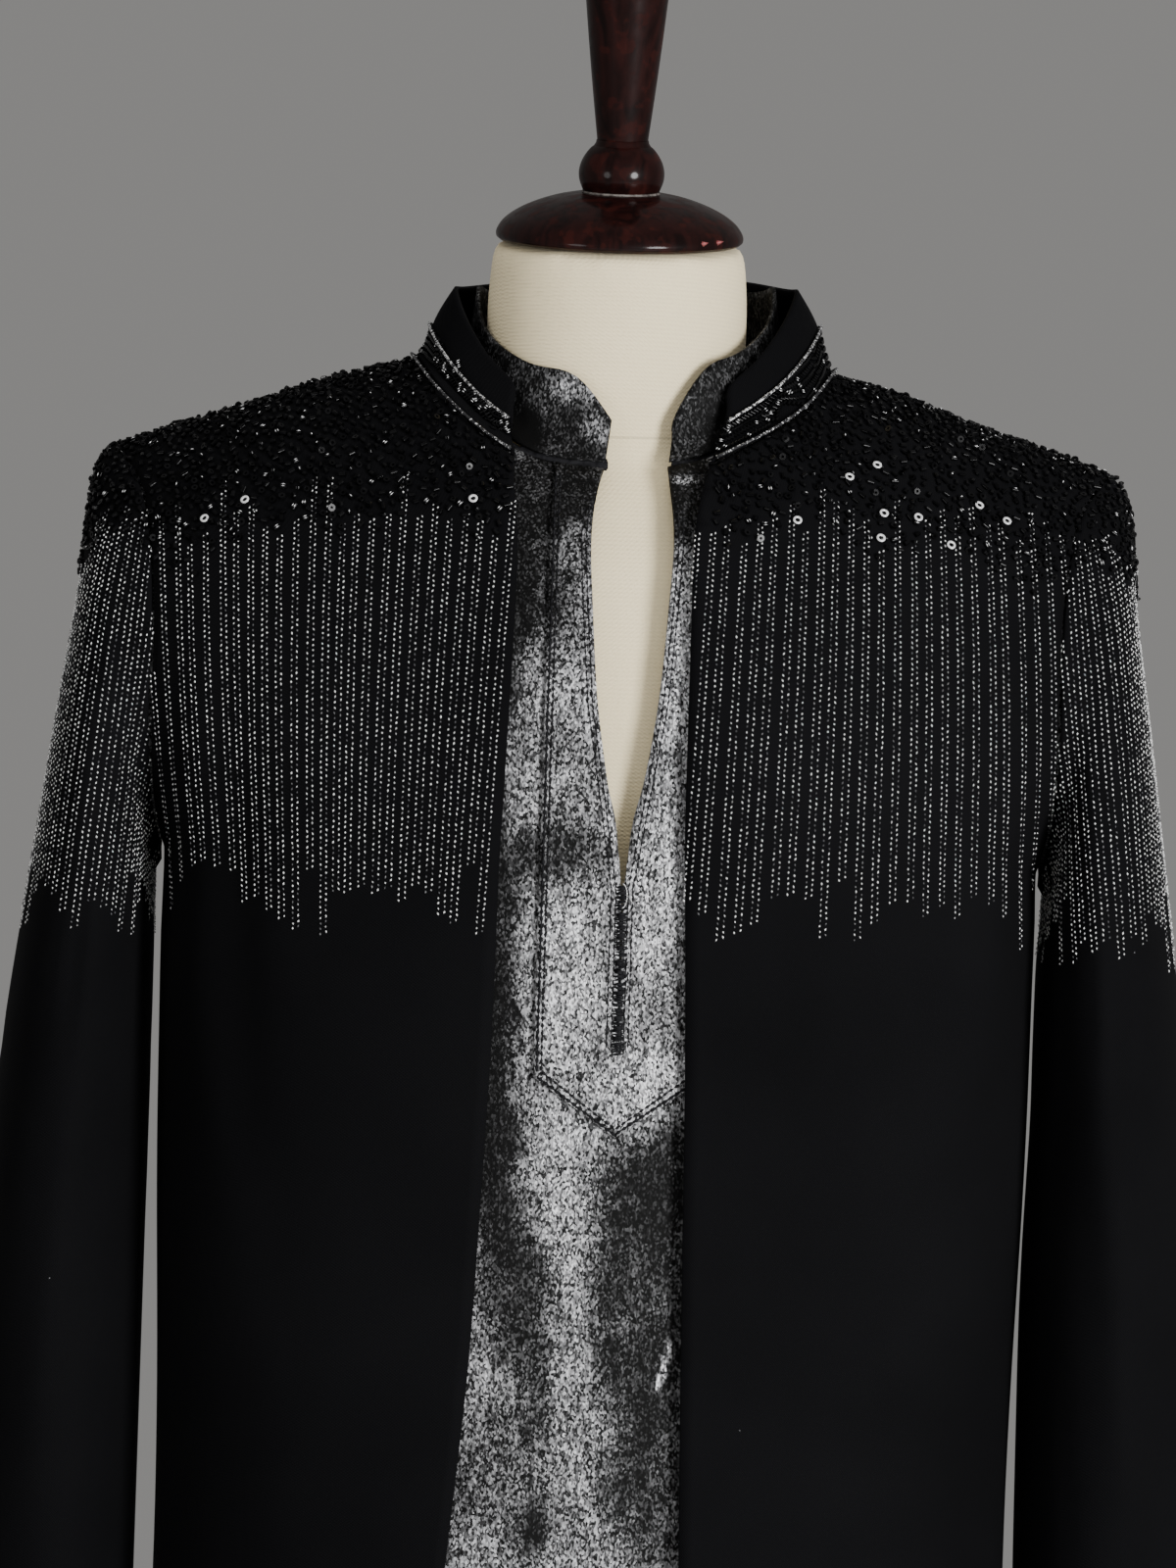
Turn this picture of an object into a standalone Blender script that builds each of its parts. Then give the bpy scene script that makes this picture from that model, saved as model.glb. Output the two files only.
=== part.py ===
"""Indo-western suit on a limbless dress form: an open long jacket over a metallic kurta, with trousers.

The garment is drawn on three nested layers: the form, the kurta and the jacket. A layer is a stack of
sections, one row per height, closed over the shoulders by a rounded ridge. Each cloth panel is a grid on
its layer between the edges it was cut to, given its thickness by Solidify.
Metres, +Z up, the front faces -Y, the origin is the centre of the base's underside.
"""

import math
from collections import namedtuple

import bmesh
import bpy

# ---------------------------------------------------------------- driving sizes
SEAM = 0.0006  # space across a seam, on the inner side of the cloth
JACKET_WALL = 0.0020
KURTA_WALL = 0.0015
TROUSER_WALL = 0.0015
SAME_POINT = 0.00001  # points this near are one
CENTRE_POINT = 0.0002  # the two halves of a front share points this near

JACKET_HEM = 0.460
KURTA_HEM = 0.500
FORM_BOTTOM = 0.860

CHEST_FRONT = 1.280  # above this height the front turns back towards the shoulder ridge
CHEST_BACK = 1.300
RIDGE_REFERENCE = 1.445
SECTION_POWER = 2.3  # 2 is an ellipse, more is squarer
FRONT_RIDGE_POWER = 1.75
BACK_RIDGE_POWER = 2.4
LEVEL_SPAN = 0.10  # metres of height per unit of level below the chest

SLIT_CENTRE = 0.0095  # the kurta hangs this much to one side
SLIT_BOTTOM = 1.168
PLACKET_HALF_WIDTH = 0.035
PLACKET_NECK_GAP = 0.0015  # from its top edge to the collar's seam
PLACKET_CORNER = 1.155
PLACKET_TIP = 1.130
PLACKET_WALL = 0.0010
PLACKET_LIFT = 0.0010  # clears the facets of the front under it

ARMHOLE_STEPS = 9
CENTRE_SPACING = 1.3  # rows lie closer together near the neck
NECK_SPACING = 1.6  # points of a neckline lie closer together towards the shoulder

Section = namedtuple("Section", "height half_width front back")
Layer = namedtuple("Layer", "name sections drops wall tip neck_point armpit folds")
Fold = namedtuple("Fold", "around half_width depth top")
Ring = namedtuple("Ring", "outer_x outer_z inner_x inner_z half_depth centre_y")
Place = namedtuple("Place", "at value")
Band = namedtuple("Band", "half_width front back side_z front_z back_z fall end")
Leg = namedtuple("Leg", "height half_width front back")
Turn = namedtuple("Turn", "radius height")

# The shoulder ridge seen from the front: distance from the centre, height.
SHOULDER = (
    Place(0.000, 1.4780),
    Place(0.060, 1.4765),
    Place(0.092, 1.4690),
    Place(0.131, 1.4590),
    Place(0.161, 1.4480),
    Place(0.193, 1.4380),
    Place(0.2096, 1.4320),
    Place(0.2236, 1.4270),
    Place(0.260, 1.4120),
)

JACKET_SECTIONS = (
    Section(0.440, 0.2350, 0.180, 0.172),
    Section(0.650, 0.2080, 0.160, 0.153),
    Section(0.800, 0.1930, 0.146, 0.140),
    Section(0.930, 0.1880, 0.136, 0.130),
    Section(1.050, 0.1900, 0.133, 0.122),
    Section(1.140, 0.1930, 0.134, 0.120),
    Section(1.240, 0.1930, 0.137, 0.121),
    Section(1.280, 0.2070, 0.138, 0.121),
    Section(1.320, 0.2240, 0.138, 0.120),
    Section(1.360, 0.2380, 0.138, 0.120),
    Section(1.400, 0.2480, 0.138, 0.120),
    Section(1.450, 0.2540, 0.138, 0.120),
)
KURTA_SECTIONS = (
    Section(0.440, 0.2110, 0.156, 0.148),
    Section(0.650, 0.1950, 0.145, 0.138),
    Section(0.800, 0.1850, 0.135, 0.130),
    Section(0.930, 0.1810, 0.127, 0.121),
    Section(1.050, 0.1825, 0.125, 0.114),
    Section(1.140, 0.1855, 0.126, 0.112),
    Section(1.250, 0.1860, 0.129, 0.113),
    Section(1.280, 0.1970, 0.130, 0.113),
    Section(1.320, 0.2150, 0.130, 0.111),
    Section(1.360, 0.2300, 0.130, 0.109),
    Section(1.400, 0.2400, 0.130, 0.107),
    Section(1.450, 0.2460, 0.130, 0.106),
)
FORM_SECTIONS = (
    Section(0.850, 0.1560, 0.096, 0.102),
    Section(0.930, 0.1660, 0.104, 0.108),
    Section(1.000, 0.1640, 0.104, 0.104),
    Section(1.100, 0.1620, 0.106, 0.094),
    Section(1.200, 0.1740, 0.117, 0.101),
    Section(1.280, 0.1800, 0.122, 0.105),
    Section(1.320, 0.1850, 0.122, 0.103),
    Section(1.360, 0.1900, 0.122, 0.100),
    Section(1.400, 0.1940, 0.122, 0.097),
    Section(1.450, 0.1960, 0.122, 0.095),
)

# Folds that open towards the hem. Around is in degrees: 0 at the centre front, 90 at the side seam.
JACKET_FOLDS = (
    Fold(38, 9, 0.008, 1.04),
    Fold(57, 8, -0.005, 0.98),
    Fold(76, 10, 0.010, 0.86),
    Fold(100, 9, -0.006, 0.92),
    Fold(122, 10, 0.010, 1.06),
    Fold(146, 9, -0.005, 0.98),
    Fold(168, 10, 0.008, 0.96),
    Fold(-34, 9, 0.007, 1.00),
    Fold(-52, 8, -0.005, 1.02),
    Fold(-71, 10, 0.009, 0.88),
    Fold(-95, 9, -0.005, 0.90),
    Fold(-118, 10, 0.010, 1.00),
    Fold(-141, 9, -0.006, 1.06),
    Fold(-163, 9, 0.008, 0.97),
)
KURTA_FOLDS = (
    Fold(18, 8, 0.003, 1.00),
    Fold(-14, 8, -0.003, 0.96),
    Fold(48, 11, 0.005, 0.96),
    Fold(84, 12, -0.004, 0.92),
    Fold(124, 12, 0.005, 0.96),
    Fold(-45, 11, 0.005, 0.98),
    Fold(-80, 12, -0.004, 0.94),
    Fold(-128, 12, 0.005, 0.92),
    Fold(180, 12, 0.004, 0.95),
)

# How far each layer's shoulder lies below that line: distance from the centre, drop.
# The kurta rests on the form beside the neck, and the jacket on the kurta's shoulders.
FORM_DROPS = (Place(0.0, 0.0150),)
KURTA_DROPS = (
    Place(0.072, 0.0090),
    Place(0.110, 0.0084),
    Place(0.145, 0.0059),
    Place(0.185, 0.0059),
    Place(0.2145, 0.0090),
)
JACKET_DROPS = (Place(0.0, 0.0035),)

FORM = Layer("form", FORM_SECTIONS, FORM_DROPS, 0.0, 0.196, 0.060, 1.240, ())
KURTA = Layer("kurta", KURTA_SECTIONS, KURTA_DROPS, KURTA_WALL, 0.2145, 0.0720, 1.250, KURTA_FOLDS)
JACKET = Layer("jacket", JACKET_SECTIONS, JACKET_DROPS, JACKET_WALL, 0.2215, 0.0925, 1.240, JACKET_FOLDS)

# The armhole seen from the front: share of the way down from shoulder tip to armpit, distance inwards.
ARMHOLE = (
    Place(0.00, 0.0000),
    Place(0.10, 0.0150),
    Place(0.27, 0.0225),
    Place(0.45, 0.0255),
    Place(0.80, 0.0255),
    Place(0.94, 0.0270),
    Place(1.00, 0.0285),
)

# Necklines: distance from the centre, height. The last row is where the shoulder seam starts.
JACKET_FRONT_NECK = (
    Place(0.0360, 1.4150),
    Place(0.0580, 1.4284),
    Place(0.0800, 1.4476),
    Place(0.0925, 1.4655),
)
JACKET_BACK_NECK = (
    Place(0.0000, 1.4520),
    Place(0.0400, 1.4545),
    Place(0.0700, 1.4600),
    Place(0.0925, 1.4655),
)
KURTA_FRONT_NECK = (
    Place(0.0000, 1.4160),
    Place(0.0200, 1.4175),
    Place(0.0412, 1.4228),
    Place(0.0540, 1.4330),
    Place(0.0640, 1.4480),
    Place(0.0720, 1.4660),
)
KURTA_BACK_NECK = (
    Place(0.0000, 1.4510),
    Place(0.0300, 1.4530),
    Place(0.0550, 1.4590),
    Place(0.0720, 1.4660),
)

# Front edges of the open jacket: height, distance from the centre. Right and left are the wearer's.
JACKET_EDGE_RIGHT = (
    Place(0.440, 0.0820),
    Place(0.650, 0.0730),
    Place(0.930, 0.0580),
    Place(1.020, 0.0500),
    Place(1.105, 0.0463),
    Place(1.154, 0.0440),
    Place(1.224, 0.0434),
    Place(1.270, 0.0420),
    Place(1.379, 0.0395),
    Place(1.417, 0.0436),
)
JACKET_EDGE_LEFT = (
    Place(0.440, 0.0560),
    Place(0.650, 0.0500),
    Place(0.930, 0.0428),
    Place(1.023, 0.0408),
    Place(1.107, 0.0394),
    Place(1.188, 0.0379),
    Place(1.273, 0.0352),
    Place(1.381, 0.0356),
    Place(1.417, 0.0408),
    Place(1.426, 0.0440),
)
# Half the width of the kurta's slit: height, distance from the slit's centre.
SLIT = (
    Place(1.168, 0.0005),
    Place(1.236, 0.0005),
    Place(1.272, 0.0060),
    Place(1.314, 0.0128),
    Place(1.361, 0.0165),
    Place(1.385, 0.0178),
    Place(1.400, 0.0168),
    Place(1.418, 0.0135),
)

# Sleeve rings below the armhole: the outer and the inner point seen from the front, and the depth.
SLEEVE = (
    Ring(0.2262, 1.4190, 0.2012, 1.2360, 0.066, 0.000),
    Ring(0.2300, 1.4070, 0.2020, 1.2290, 0.069, -0.001),
    Ring(0.2315, 1.3890, 0.2020, 1.2190, 0.072, -0.002),
    Ring(0.2345, 1.3600, 0.2018, 1.2060, 0.074, -0.003),
    Ring(0.2390, 1.3290, 0.2015, 1.1920, 0.075, -0.004),
    Ring(0.2440, 1.2940, 0.2012, 1.1750, 0.075, -0.005),
    Ring(0.2500, 1.2500, 0.2010, 1.1520, 0.073, -0.006),
    Ring(0.2570, 1.2000, 0.2008, 1.1260, 0.071, -0.008),
    Ring(0.2640, 1.1400, 0.2006, 1.0900, 0.068, -0.010),
    Ring(0.2690, 1.0700, 0.2005, 1.0450, 0.065, -0.012),
    Ring(0.2705, 1.0000, 0.2005, 0.9900, 0.061, -0.013),
    Ring(0.2712, 0.9300, 0.2005, 0.9260, 0.057, -0.014),
    Ring(0.2710, 0.8700, 0.2008, 0.8690, 0.053, -0.015),
    Ring(0.2705, 0.8150, 0.2010, 0.8150, 0.050, -0.015),
)
SLEEVE_FOLDS = (
    Fold(-62, 22, -0.006, 1.26),
    Fold(-18, 20, 0.004, 1.22),
    Fold(70, 25, -0.004, 1.20),
)
LEFT_SLEEVE_TUCK = (  # height, how much nearer to the body the left sleeve's inner side hangs
    Place(0.815, 0.0005),
    Place(0.870, 0.0030),
    Place(0.930, 0.0042),
    Place(1.060, 0.0048),
    Place(1.130, 0.0022),
    Place(1.200, 0.0018),
    Place(1.225, 0.0000),
)
SLEEVE_SETTLE = (1.0, 0.62, 0.32, 0.12)  # how much of the armhole's own outline each first ring keeps
SLEEVE_FOLD_HEM = 0.82
SLEEVE_FOLD_RING = 5  # the first ring that folds
SLEEVE_GAP = 0.0010  # from the edge of the armhole
SLEEVE_HEAD_DEPTH = 0.064
UNDERARM_LIFT = 0.0010
KURTA_SLEEVE_INSET = 0.0045
KURTA_SLEEVE_RINGS = (0, 1, 2, 4, 6, 8, 10, 12)
KURTA_HEAD_RINGS = 3  # these rings are lowered as well as drawn in
KURTA_UNDERARM = (Place(0, 0.012), Place(8, 0.012), Place(9, 0.006), Place(10, 0.006), Place(11, 0.003))

# Collar rings: how far each lies from the neck's axis at the side, front and back, and its heights.
NECK_AXIS_Y = -0.008
JACKET_COLLAR = (
    Band(0.0885, 0.0805, 0.0790, 1.4765, 1.4190, 1.4700, 1.5, 0.0028),
    Band(0.0860, 0.0785, 0.0770, 1.4862, 1.4249, 1.4850, 1.5, 0.0039),
    Band(0.0815, 0.0750, 0.0740, 1.4950, 1.4297, 1.5000, 1.5, 0.0042),
    Band(0.0768, 0.0722, 0.0715, 1.5025, 1.4350, 1.5150, 1.5, 0.0042),
)
KURTA_COLLAR = (
    Band(0.0705, 0.0725, 0.0702, 1.4760, 1.4260, 1.4680, 1.4, 0.0),
    Band(0.0685, 0.0712, 0.0678, 1.4890, 1.4420, 1.4860, 1.1, 0.0),
    Band(0.0668, 0.0700, 0.0660, 1.5030, 1.4565, 1.5040, 0.8, 0.0),
)
KURTA_COLLAR_ROUNDING = 0.018
COLLAR_STEPS = 6  # from a front end to the shoulder, and from there to the centre back
COLLAR_TILT = 0.036  # the collars' rise towards the wearer's left
NECK_SWING = 0.0038  # both necklines hang this much to the wearer's left
NECK_SWING_FOOT = 1.405
NECK_SWING_TOP = 1.450
NECK_SWING_REACH = (0.100, 0.165)  # full up to the first distance from the centre, none beyond the second
SEAM_LIFT = 0.0024

CORD_RADIUS = 0.0011
UPPER_CORD_LIFT = 0.0017
LOWER_CORD_LIFT = 0.0030
LOWER_CORD_SHARE = 0.12  # of the way from the collar's seam to its first ring

NECK_TILT = math.radians(11.5)
NECK_LEAN = 0.13  # the neck's way forward for its way up
NECK_FOOT = 1.40
NECK_FOOT_Y = -0.006
NECK_RADIUS_X = 0.0583
NECK_RADIUS_Y = 0.0580
NECK_TOP = 1.5213
NECK_STEPS = 32
NECK_RINGS = (  # height, spread
    Place(1.360, 1.03),
    Place(1.400, 1.03),
    Place(1.430, 1.02),
    Place(1.465, 1.00),
    Place(1.495, 1.00),
    Place(NECK_TOP, 0.965),
)
FORM_COLUMNS = 9
FORM_ROWS = 8
FORM_POINT = 0.0001

# Turned pieces on the neck, each down its outer side from the axis to the axis.
CAP = (
    Turn(0.0000, 0.0216),
    Turn(0.0195, 0.0214),
    Turn(0.0300, 0.0194),
    Turn(0.0400, 0.0159),
    Turn(0.0475, 0.0120),
    Turn(0.0525, 0.0079),
    Turn(0.0550, 0.0036),
    Turn(0.0548, 0.0012),
    Turn(0.0534, 0.0000),
    Turn(0.0000, 0.0000),
)
BALL = (
    Turn(0.0000, 0.0225),
    Turn(0.0114, 0.0212),
    Turn(0.0152, 0.0179),
    Turn(0.0178, 0.0138),
    Turn(0.0190, 0.0092),
    Turn(0.0186, 0.0046),
    Turn(0.0167, 0.0000),
    Turn(0.0000, 0.0000),
)
FINIAL = (
    Turn(0.0000, 0.0990),
    Turn(0.0070, 0.0984),
    Turn(0.0130, 0.0955),
    Turn(0.0172, 0.0900),
    Turn(0.0190, 0.0820),
    Turn(0.0188, 0.0700),
    Turn(0.0181, 0.0610),
    Turn(0.0147, 0.0285),
    Turn(0.0120, 0.0060),
    Turn(0.0113, 0.0000),
    Turn(0.0000, 0.0000),
)
FITTING_STEPS = 24
CAP_LIFT = 0.0005
FITTING_GAP = 0.0003

BASE_RADIUS = 0.185
BASE_HEIGHT = 0.030
BASE_RIM = 0.006
BASE_STEPS = 48
POLE_RADIUS = 0.0130
POLE_FLANGE = 0.016
POLE_GAP = 0.0003
POLE_STEPS = 20

WAIST_TOP = 1.020
WAISTBAND_HEIGHT = 0.038
CROTCH_HEIGHT = 0.760
CROTCH_BLEND = 0.110
TROUSER_HEM = 0.070
LEG_PART_X = -0.0230  # the inseams hang beside the pole
LEG_GAP = 0.0008
LEG_STEPS = 14
HIP_ROWS = 7
LEG_ROWS = 5
LEGS = (
    Leg(0.070, 0.0600, 0.070, 0.066),
    Leg(0.250, 0.0640, 0.076, 0.074),
    Leg(0.480, 0.0700, 0.086, 0.086),
    Leg(0.640, 0.0745, 0.094, 0.098),
    Leg(0.760, 0.0770, 0.100, 0.104),
    Leg(1.030, 0.0770, 0.100, 0.104),
)
HIPS = (
    Section(0.600, 0.1700, 0.108, 0.112),
    Section(0.760, 0.1710, 0.109, 0.113),
    Section(0.930, 0.1720, 0.111, 0.113),
    Section(1.030, 0.1690, 0.110, 0.107),
)


# ---------------------------------------------------------------- curves and surfaces
def smooth(rows, at, column=1):
    """A column of a table at a place, on a curve through the rows that never overshoots them."""
    rows = sorted(rows, key=lambda row: row[0])
    if at <= rows[0][0]:
        return rows[0][column]
    if at >= rows[-1][0]:
        return rows[-1][column]
    i = next(k for k in range(len(rows) - 1) if at <= rows[k + 1][0])

    def slope(k):
        return (rows[k + 1][column] - rows[k][column]) / (rows[k + 1][0] - rows[k][0])

    def tangent(k):
        if k == 0:
            return slope(0)
        if k == len(rows) - 1:
            return slope(k - 1)
        before, after = slope(k - 1), slope(k)
        return 0.0 if before * after <= 0 else 2 * before * after / (before + after)

    span = rows[i + 1][0] - rows[i][0]
    t = (at - rows[i][0]) / span
    return (
        (2 * t**3 - 3 * t**2 + 1) * rows[i][column]
        + (t**3 - 2 * t**2 + t) * span * tangent(i)
        + (3 * t**2 - 2 * t**3) * rows[i + 1][column]
        + (t**3 - t**2) * span * tangent(i + 1)
    )


def power(value, exponent):
    """A power that keeps the sign."""
    return math.copysign(abs(value) ** exponent, value)


def ramp(value):
    """0 to 1 with soft ends."""
    t = min(max(value, 0.0), 1.0)
    return t * t * (3 - 2 * t)


def fold_height(folds, around, height, hem):
    """How far the folds push the cloth outwards at an angle and a height."""
    total = 0.0
    for fold in folds:
        away = (around - fold.around + 180) % 360 - 180
        grown = ramp((fold.top - height) / (fold.top - hem))
        total += fold.depth * grown * math.exp(-((away / fold.half_width) ** 2))
    return total


def ridge(layer, x, grow=0.0):
    return smooth(SHOULDER, abs(x)) - smooth(layer.drops, abs(x)) + grow


def chest_of(back):
    return CHEST_BACK if back else CHEST_FRONT


def ridge_power(back):
    return BACK_RIDGE_POWER if back else FRONT_RIDGE_POWER


def locate(layer, back, x, z):
    """The angle and the level of a point given by its front view."""
    chest = chest_of(back)
    if z >= chest:
        share = min((z - chest) / (ridge(layer, x) - chest), 1.0)
        level = math.asin(share ** (ridge_power(back) / 2))
        height = chest + (RIDGE_REFERENCE - chest) * share
    else:
        level = (z - chest) / LEVEL_SPAN
        height = z
    reach = min(abs(x) / smooth(layer.sections, height), 1.0)
    return math.copysign(math.asin(reach ** (SECTION_POWER / 2)), x), level


def surface(layer, side, back, angle, level, grow=0.0):
    """A point of a layer. Side is 1 towards +X, -1 towards -X; grow moves it outwards."""
    chest = chest_of(back)
    share = math.sin(level) ** (2 / ridge_power(back)) if level > 0 else 0.0
    height = chest + (RIDGE_REFERENCE - chest) * share if level > 0 else chest + level * LEVEL_SPAN
    around = side * math.degrees(math.pi - angle if back else angle)
    if level < 0:
        grow += fold_height(layer.folds, around, height, JACKET_HEM)
    half_width = smooth(layer.sections, height) + grow
    depth = smooth(layer.sections, height, 3 if back else 2) + grow
    x = half_width * power(math.sin(angle), 2 / SECTION_POWER)
    y = depth * power(math.cos(angle), 2 / SECTION_POWER)
    z = height
    if level > 0:
        z = chest + (ridge(layer, x, grow) - chest) * share
        y *= max(math.cos(level), 0.0) ** (2 / ridge_power(back))
    y += 0.0 if layer is FORM else SEAM / 2
    return (side * x, y if back else -y, z)


def armhole(layer, step):
    """Front view of the armhole at one of its steps, from the shoulder tip down to the armpit."""
    share = (1 - math.cos(math.pi * step / ARMHOLE_STEPS)) / 2
    top = ridge(layer, layer.tip)
    z = top + (layer.armpit - top) * share
    x = layer.tip - smooth(ARMHOLE, share)
    return (x, z)


def half_panel(layer, side, back, neck, edge, hem, neck_steps, shoulder_steps, hem_steps, grow=0.0):
    """Rows of points of half a front or a back, each from its centre edge to the armhole or side seam.

    The first row is the neckline and then the shoulder seam. Neck and edge are tables.
    """
    columns = neck_steps + shoulder_steps
    start_z = neck_start(neck, edge)
    start_x = smooth(edge, start_z) if edge else 0.0
    top = []
    for j in range(neck_steps):
        x = neck_x(layer, start_x, j / neck_steps)
        top.append(locate(layer, back, x, smooth(neck, x)))
    for j in range(shoulder_steps + 1):
        x = layer.neck_point + (layer.tip - layer.neck_point) * j / shoulder_steps
        top.append(locate(layer, back, x, ridge(layer, x)))
    arm = [locate(layer, back, *armhole(layer, i)) for i in range(ARMHOLE_STEPS)]
    arm.append((math.pi / 2, (layer.armpit - chest_of(back)) / LEVEL_SPAN))
    centre = []
    for i in range(ARMHOLE_STEPS + 1):
        z = start_z + (layer.armpit - start_z) * (i / ARMHOLE_STEPS) ** CENTRE_SPACING
        centre.append(locate(layer, back, smooth(edge, z) if edge else 0.0, z))
    bottom_start = centre[-1]
    rows = []
    for i in range(ARMHOLE_STEPS + 1):
        t = i / ARMHOLE_STEPS
        row = []
        for j in range(columns + 1):
            s = j / columns
            spot = []
            for k in (0, 1):
                base = bottom_start[k] + (arm[-1][k] - bottom_start[k]) * s
                ruled = (1 - t) * top[j][k] + t * base + (1 - s) * centre[i][k] + s * arm[i][k]
                corners = (1 - t) * ((1 - s) * top[0][k] + s * top[-1][k])
                corners += t * ((1 - s) * bottom_start[k] + s * arm[-1][k])
                spot.append(ruled - corners)
            row.append(surface(layer, side, back, spot[0], spot[1], grow))
        rows.append(row)
    for i in range(1, hem_steps + 1):
        z = layer.armpit + (hem - layer.armpit) * i / hem_steps
        angle, level = locate(layer, back, smooth(edge, z) if edge else 0.0, z)
        row = []
        for j in range(columns + 1):
            across = angle + (math.pi / 2 - angle) * j / columns
            row.append(surface(layer, side, back, across, level, grow))
        rows.append(row)
    return rows


def neck_x(layer, start_x, share):
    return start_x + (layer.neck_point - start_x) * (1 - (1 - share) ** NECK_SPACING)


def neck_start(neck, edge):
    """Height at which the centre edge meets the neckline."""
    if not edge:
        return neck[0].value
    z = neck[0].value
    for _ in range(6):
        z = smooth(neck, smooth(edge, z))
    return z


# ---------------------------------------------------------------- making objects
def clear_scene():
    for thing in list(bpy.data.objects):
        bpy.data.objects.remove(thing, do_unlink=True)


def new_collection(name):
    made = bpy.data.collections.new(name)
    bpy.context.scene.collection.children.link(made)
    return made


def material(name, colour, roughness, metallic=0.0):
    made = bpy.data.materials.new(name)
    made.use_nodes = True
    shader = made.node_tree.nodes["Principled BSDF"]
    shader.inputs["Base Color"].default_value = (*colour, 1.0)
    shader.inputs["Roughness"].default_value = roughness
    shader.inputs["Metallic"].default_value = metallic
    made.diffuse_color = (*colour, 1.0)
    return made


def add_object(name, data, finish, collection):
    made = bpy.data.objects.new(name, data)
    data.materials.append(finish)
    collection.objects.link(made)
    return made


def grid_mesh(name, rows, axis, closed=False):
    """A surface through rows of points, its faces turned away from axis(z), which gives x and y."""
    work = bmesh.new()
    grid = [[work.verts.new(point) for point in row] for row in rows]
    width = len(rows[0])
    for upper, lower in zip(grid, grid[1:]):
        for j in range(width if closed else width - 1):
            k = (j + 1) % width
            work.faces.new((upper[j], upper[k], lower[k], lower[j]))
    bmesh.ops.remove_doubles(work, verts=work.verts, dist=SAME_POINT)
    return finish_mesh(name, work, axis)


def finish_mesh(name, work, axis):
    outwards = 0.0
    for face in work.faces:
        face.normal_update()
        middle = face.calc_center_median()
        x, y = axis(middle.z)
        outwards += face.calc_area() * (face.normal.x * (middle.x - x) + face.normal.y * (middle.y - y))
    if outwards < 0:
        bmesh.ops.reverse_faces(work, faces=work.faces)
    mesh = bpy.data.meshes.new(name)
    work.to_mesh(mesh)
    work.free()
    mesh.shade_smooth()
    return mesh


def add_wall(thing, wall, outwards=True):
    solid = thing.modifiers.new("thickness", "SOLIDIFY")
    solid.thickness = wall
    solid.offset = 1.0 if outwards else -1.0
    solid.use_rim = True
    return thing


def turned(name, profile, steps, finish, collection):
    """A turned piece: the profile runs down its outer side from the axis to the axis."""
    mesh = bpy.data.meshes.new(name)
    mesh.from_pydata([(r, 0.0, z) for r, z in profile], [(i, i + 1) for i in range(len(profile) - 1)], [])
    thing = add_object(name, mesh, finish, collection)
    screw = thing.modifiers.new("turn", "SCREW")
    screw.steps = screw.render_steps = steps
    screw.use_merge_vertices = True
    screw.merge_threshold = SAME_POINT
    screw.use_smooth_shade = True
    return thing


def cord(name, points, radius, finish, collection):
    data = bpy.data.curves.new(name, "CURVE")
    data.dimensions = "3D"
    data.bevel_depth = radius
    data.bevel_resolution = 1
    data.use_fill_caps = True
    line = data.splines.new("POLY")
    line.points.add(len(points) - 1)
    for spot, point in zip(line.points, points):
        spot.co = (*point, 1.0)
    return add_object(name, data, finish, collection)


def body_axis(_):
    return (0.0, 0.0)


# ---------------------------------------------------------------- cloth pieces
def jacket_front(name, side, edge, finish, collection):
    rows = half_panel(JACKET, side, False, JACKET_FRONT_NECK, edge, JACKET_HEM, 5, 7, 11)
    return add_wall(add_object(name, grid_mesh(name, rows, body_axis), finish, collection), JACKET_WALL)


def whole_back(name, layer, neck, hem, counts, finish, collection):
    """The back is cut in one: its two halves share the points of the centre line."""
    right = half_panel(layer, 1, True, neck, (), hem, *counts)
    left = half_panel(layer, -1, True, neck, (), hem, *counts)
    rows = [list(reversed(a))[:-1] + b for a, b in zip(left, right)]
    return add_wall(add_object(name, grid_mesh(name, rows, body_axis), finish, collection), layer.wall)


def slit_edge(side):
    """The slit's edge on one side, as distances from the body's centre towards that side."""
    return tuple(Place(row.at, row.value + side * SLIT_CENTRE) for row in SLIT)


def kurta_front(name, finish, collection):
    """Cut in one, with a slit from the neck: the halves share points only below the slit."""
    work = bmesh.new()
    for side in (1, -1):
        edge = slit_edge(side)
        rows = half_panel(KURTA, side, False, KURTA_FRONT_NECK, edge, KURTA_HEM, 5, 4, 9)
        for row in rows:
            if row[0][2] < SLIT_BOTTOM:
                row[0] = (SLIT_CENTRE, row[0][1], row[0][2])
        if side == -1:
            rows = [list(reversed(row)) for row in rows]
        grid = [[work.verts.new(point) for point in row] for row in rows]
        for upper, lower in zip(grid, grid[1:]):
            for j in range(len(upper) - 1):
                work.faces.new((upper[j], upper[j + 1], lower[j + 1], lower[j]))
    bmesh.ops.remove_doubles(work, verts=work.verts, dist=CENTRE_POINT)
    mesh = finish_mesh(name, work, body_axis)
    return add_wall(add_object(name, mesh, finish, collection), KURTA_WALL)


def placket_bottom(across):
    """Height of the placket's lower edge: two slopes that meet in a point."""
    return PLACKET_TIP + (PLACKET_CORNER - PLACKET_TIP) * abs(across)


def placket_top(edge, side, share):
    """The placket's top edge follows the neckline."""
    inner = smooth(edge, KURTA_FRONT_NECK[0].value)
    x = inner + (side * SLIT_CENTRE + PLACKET_HALF_WIDTH - inner) * share
    return smooth(KURTA_FRONT_NECK, abs(x)) - PLACKET_NECK_GAP


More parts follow.
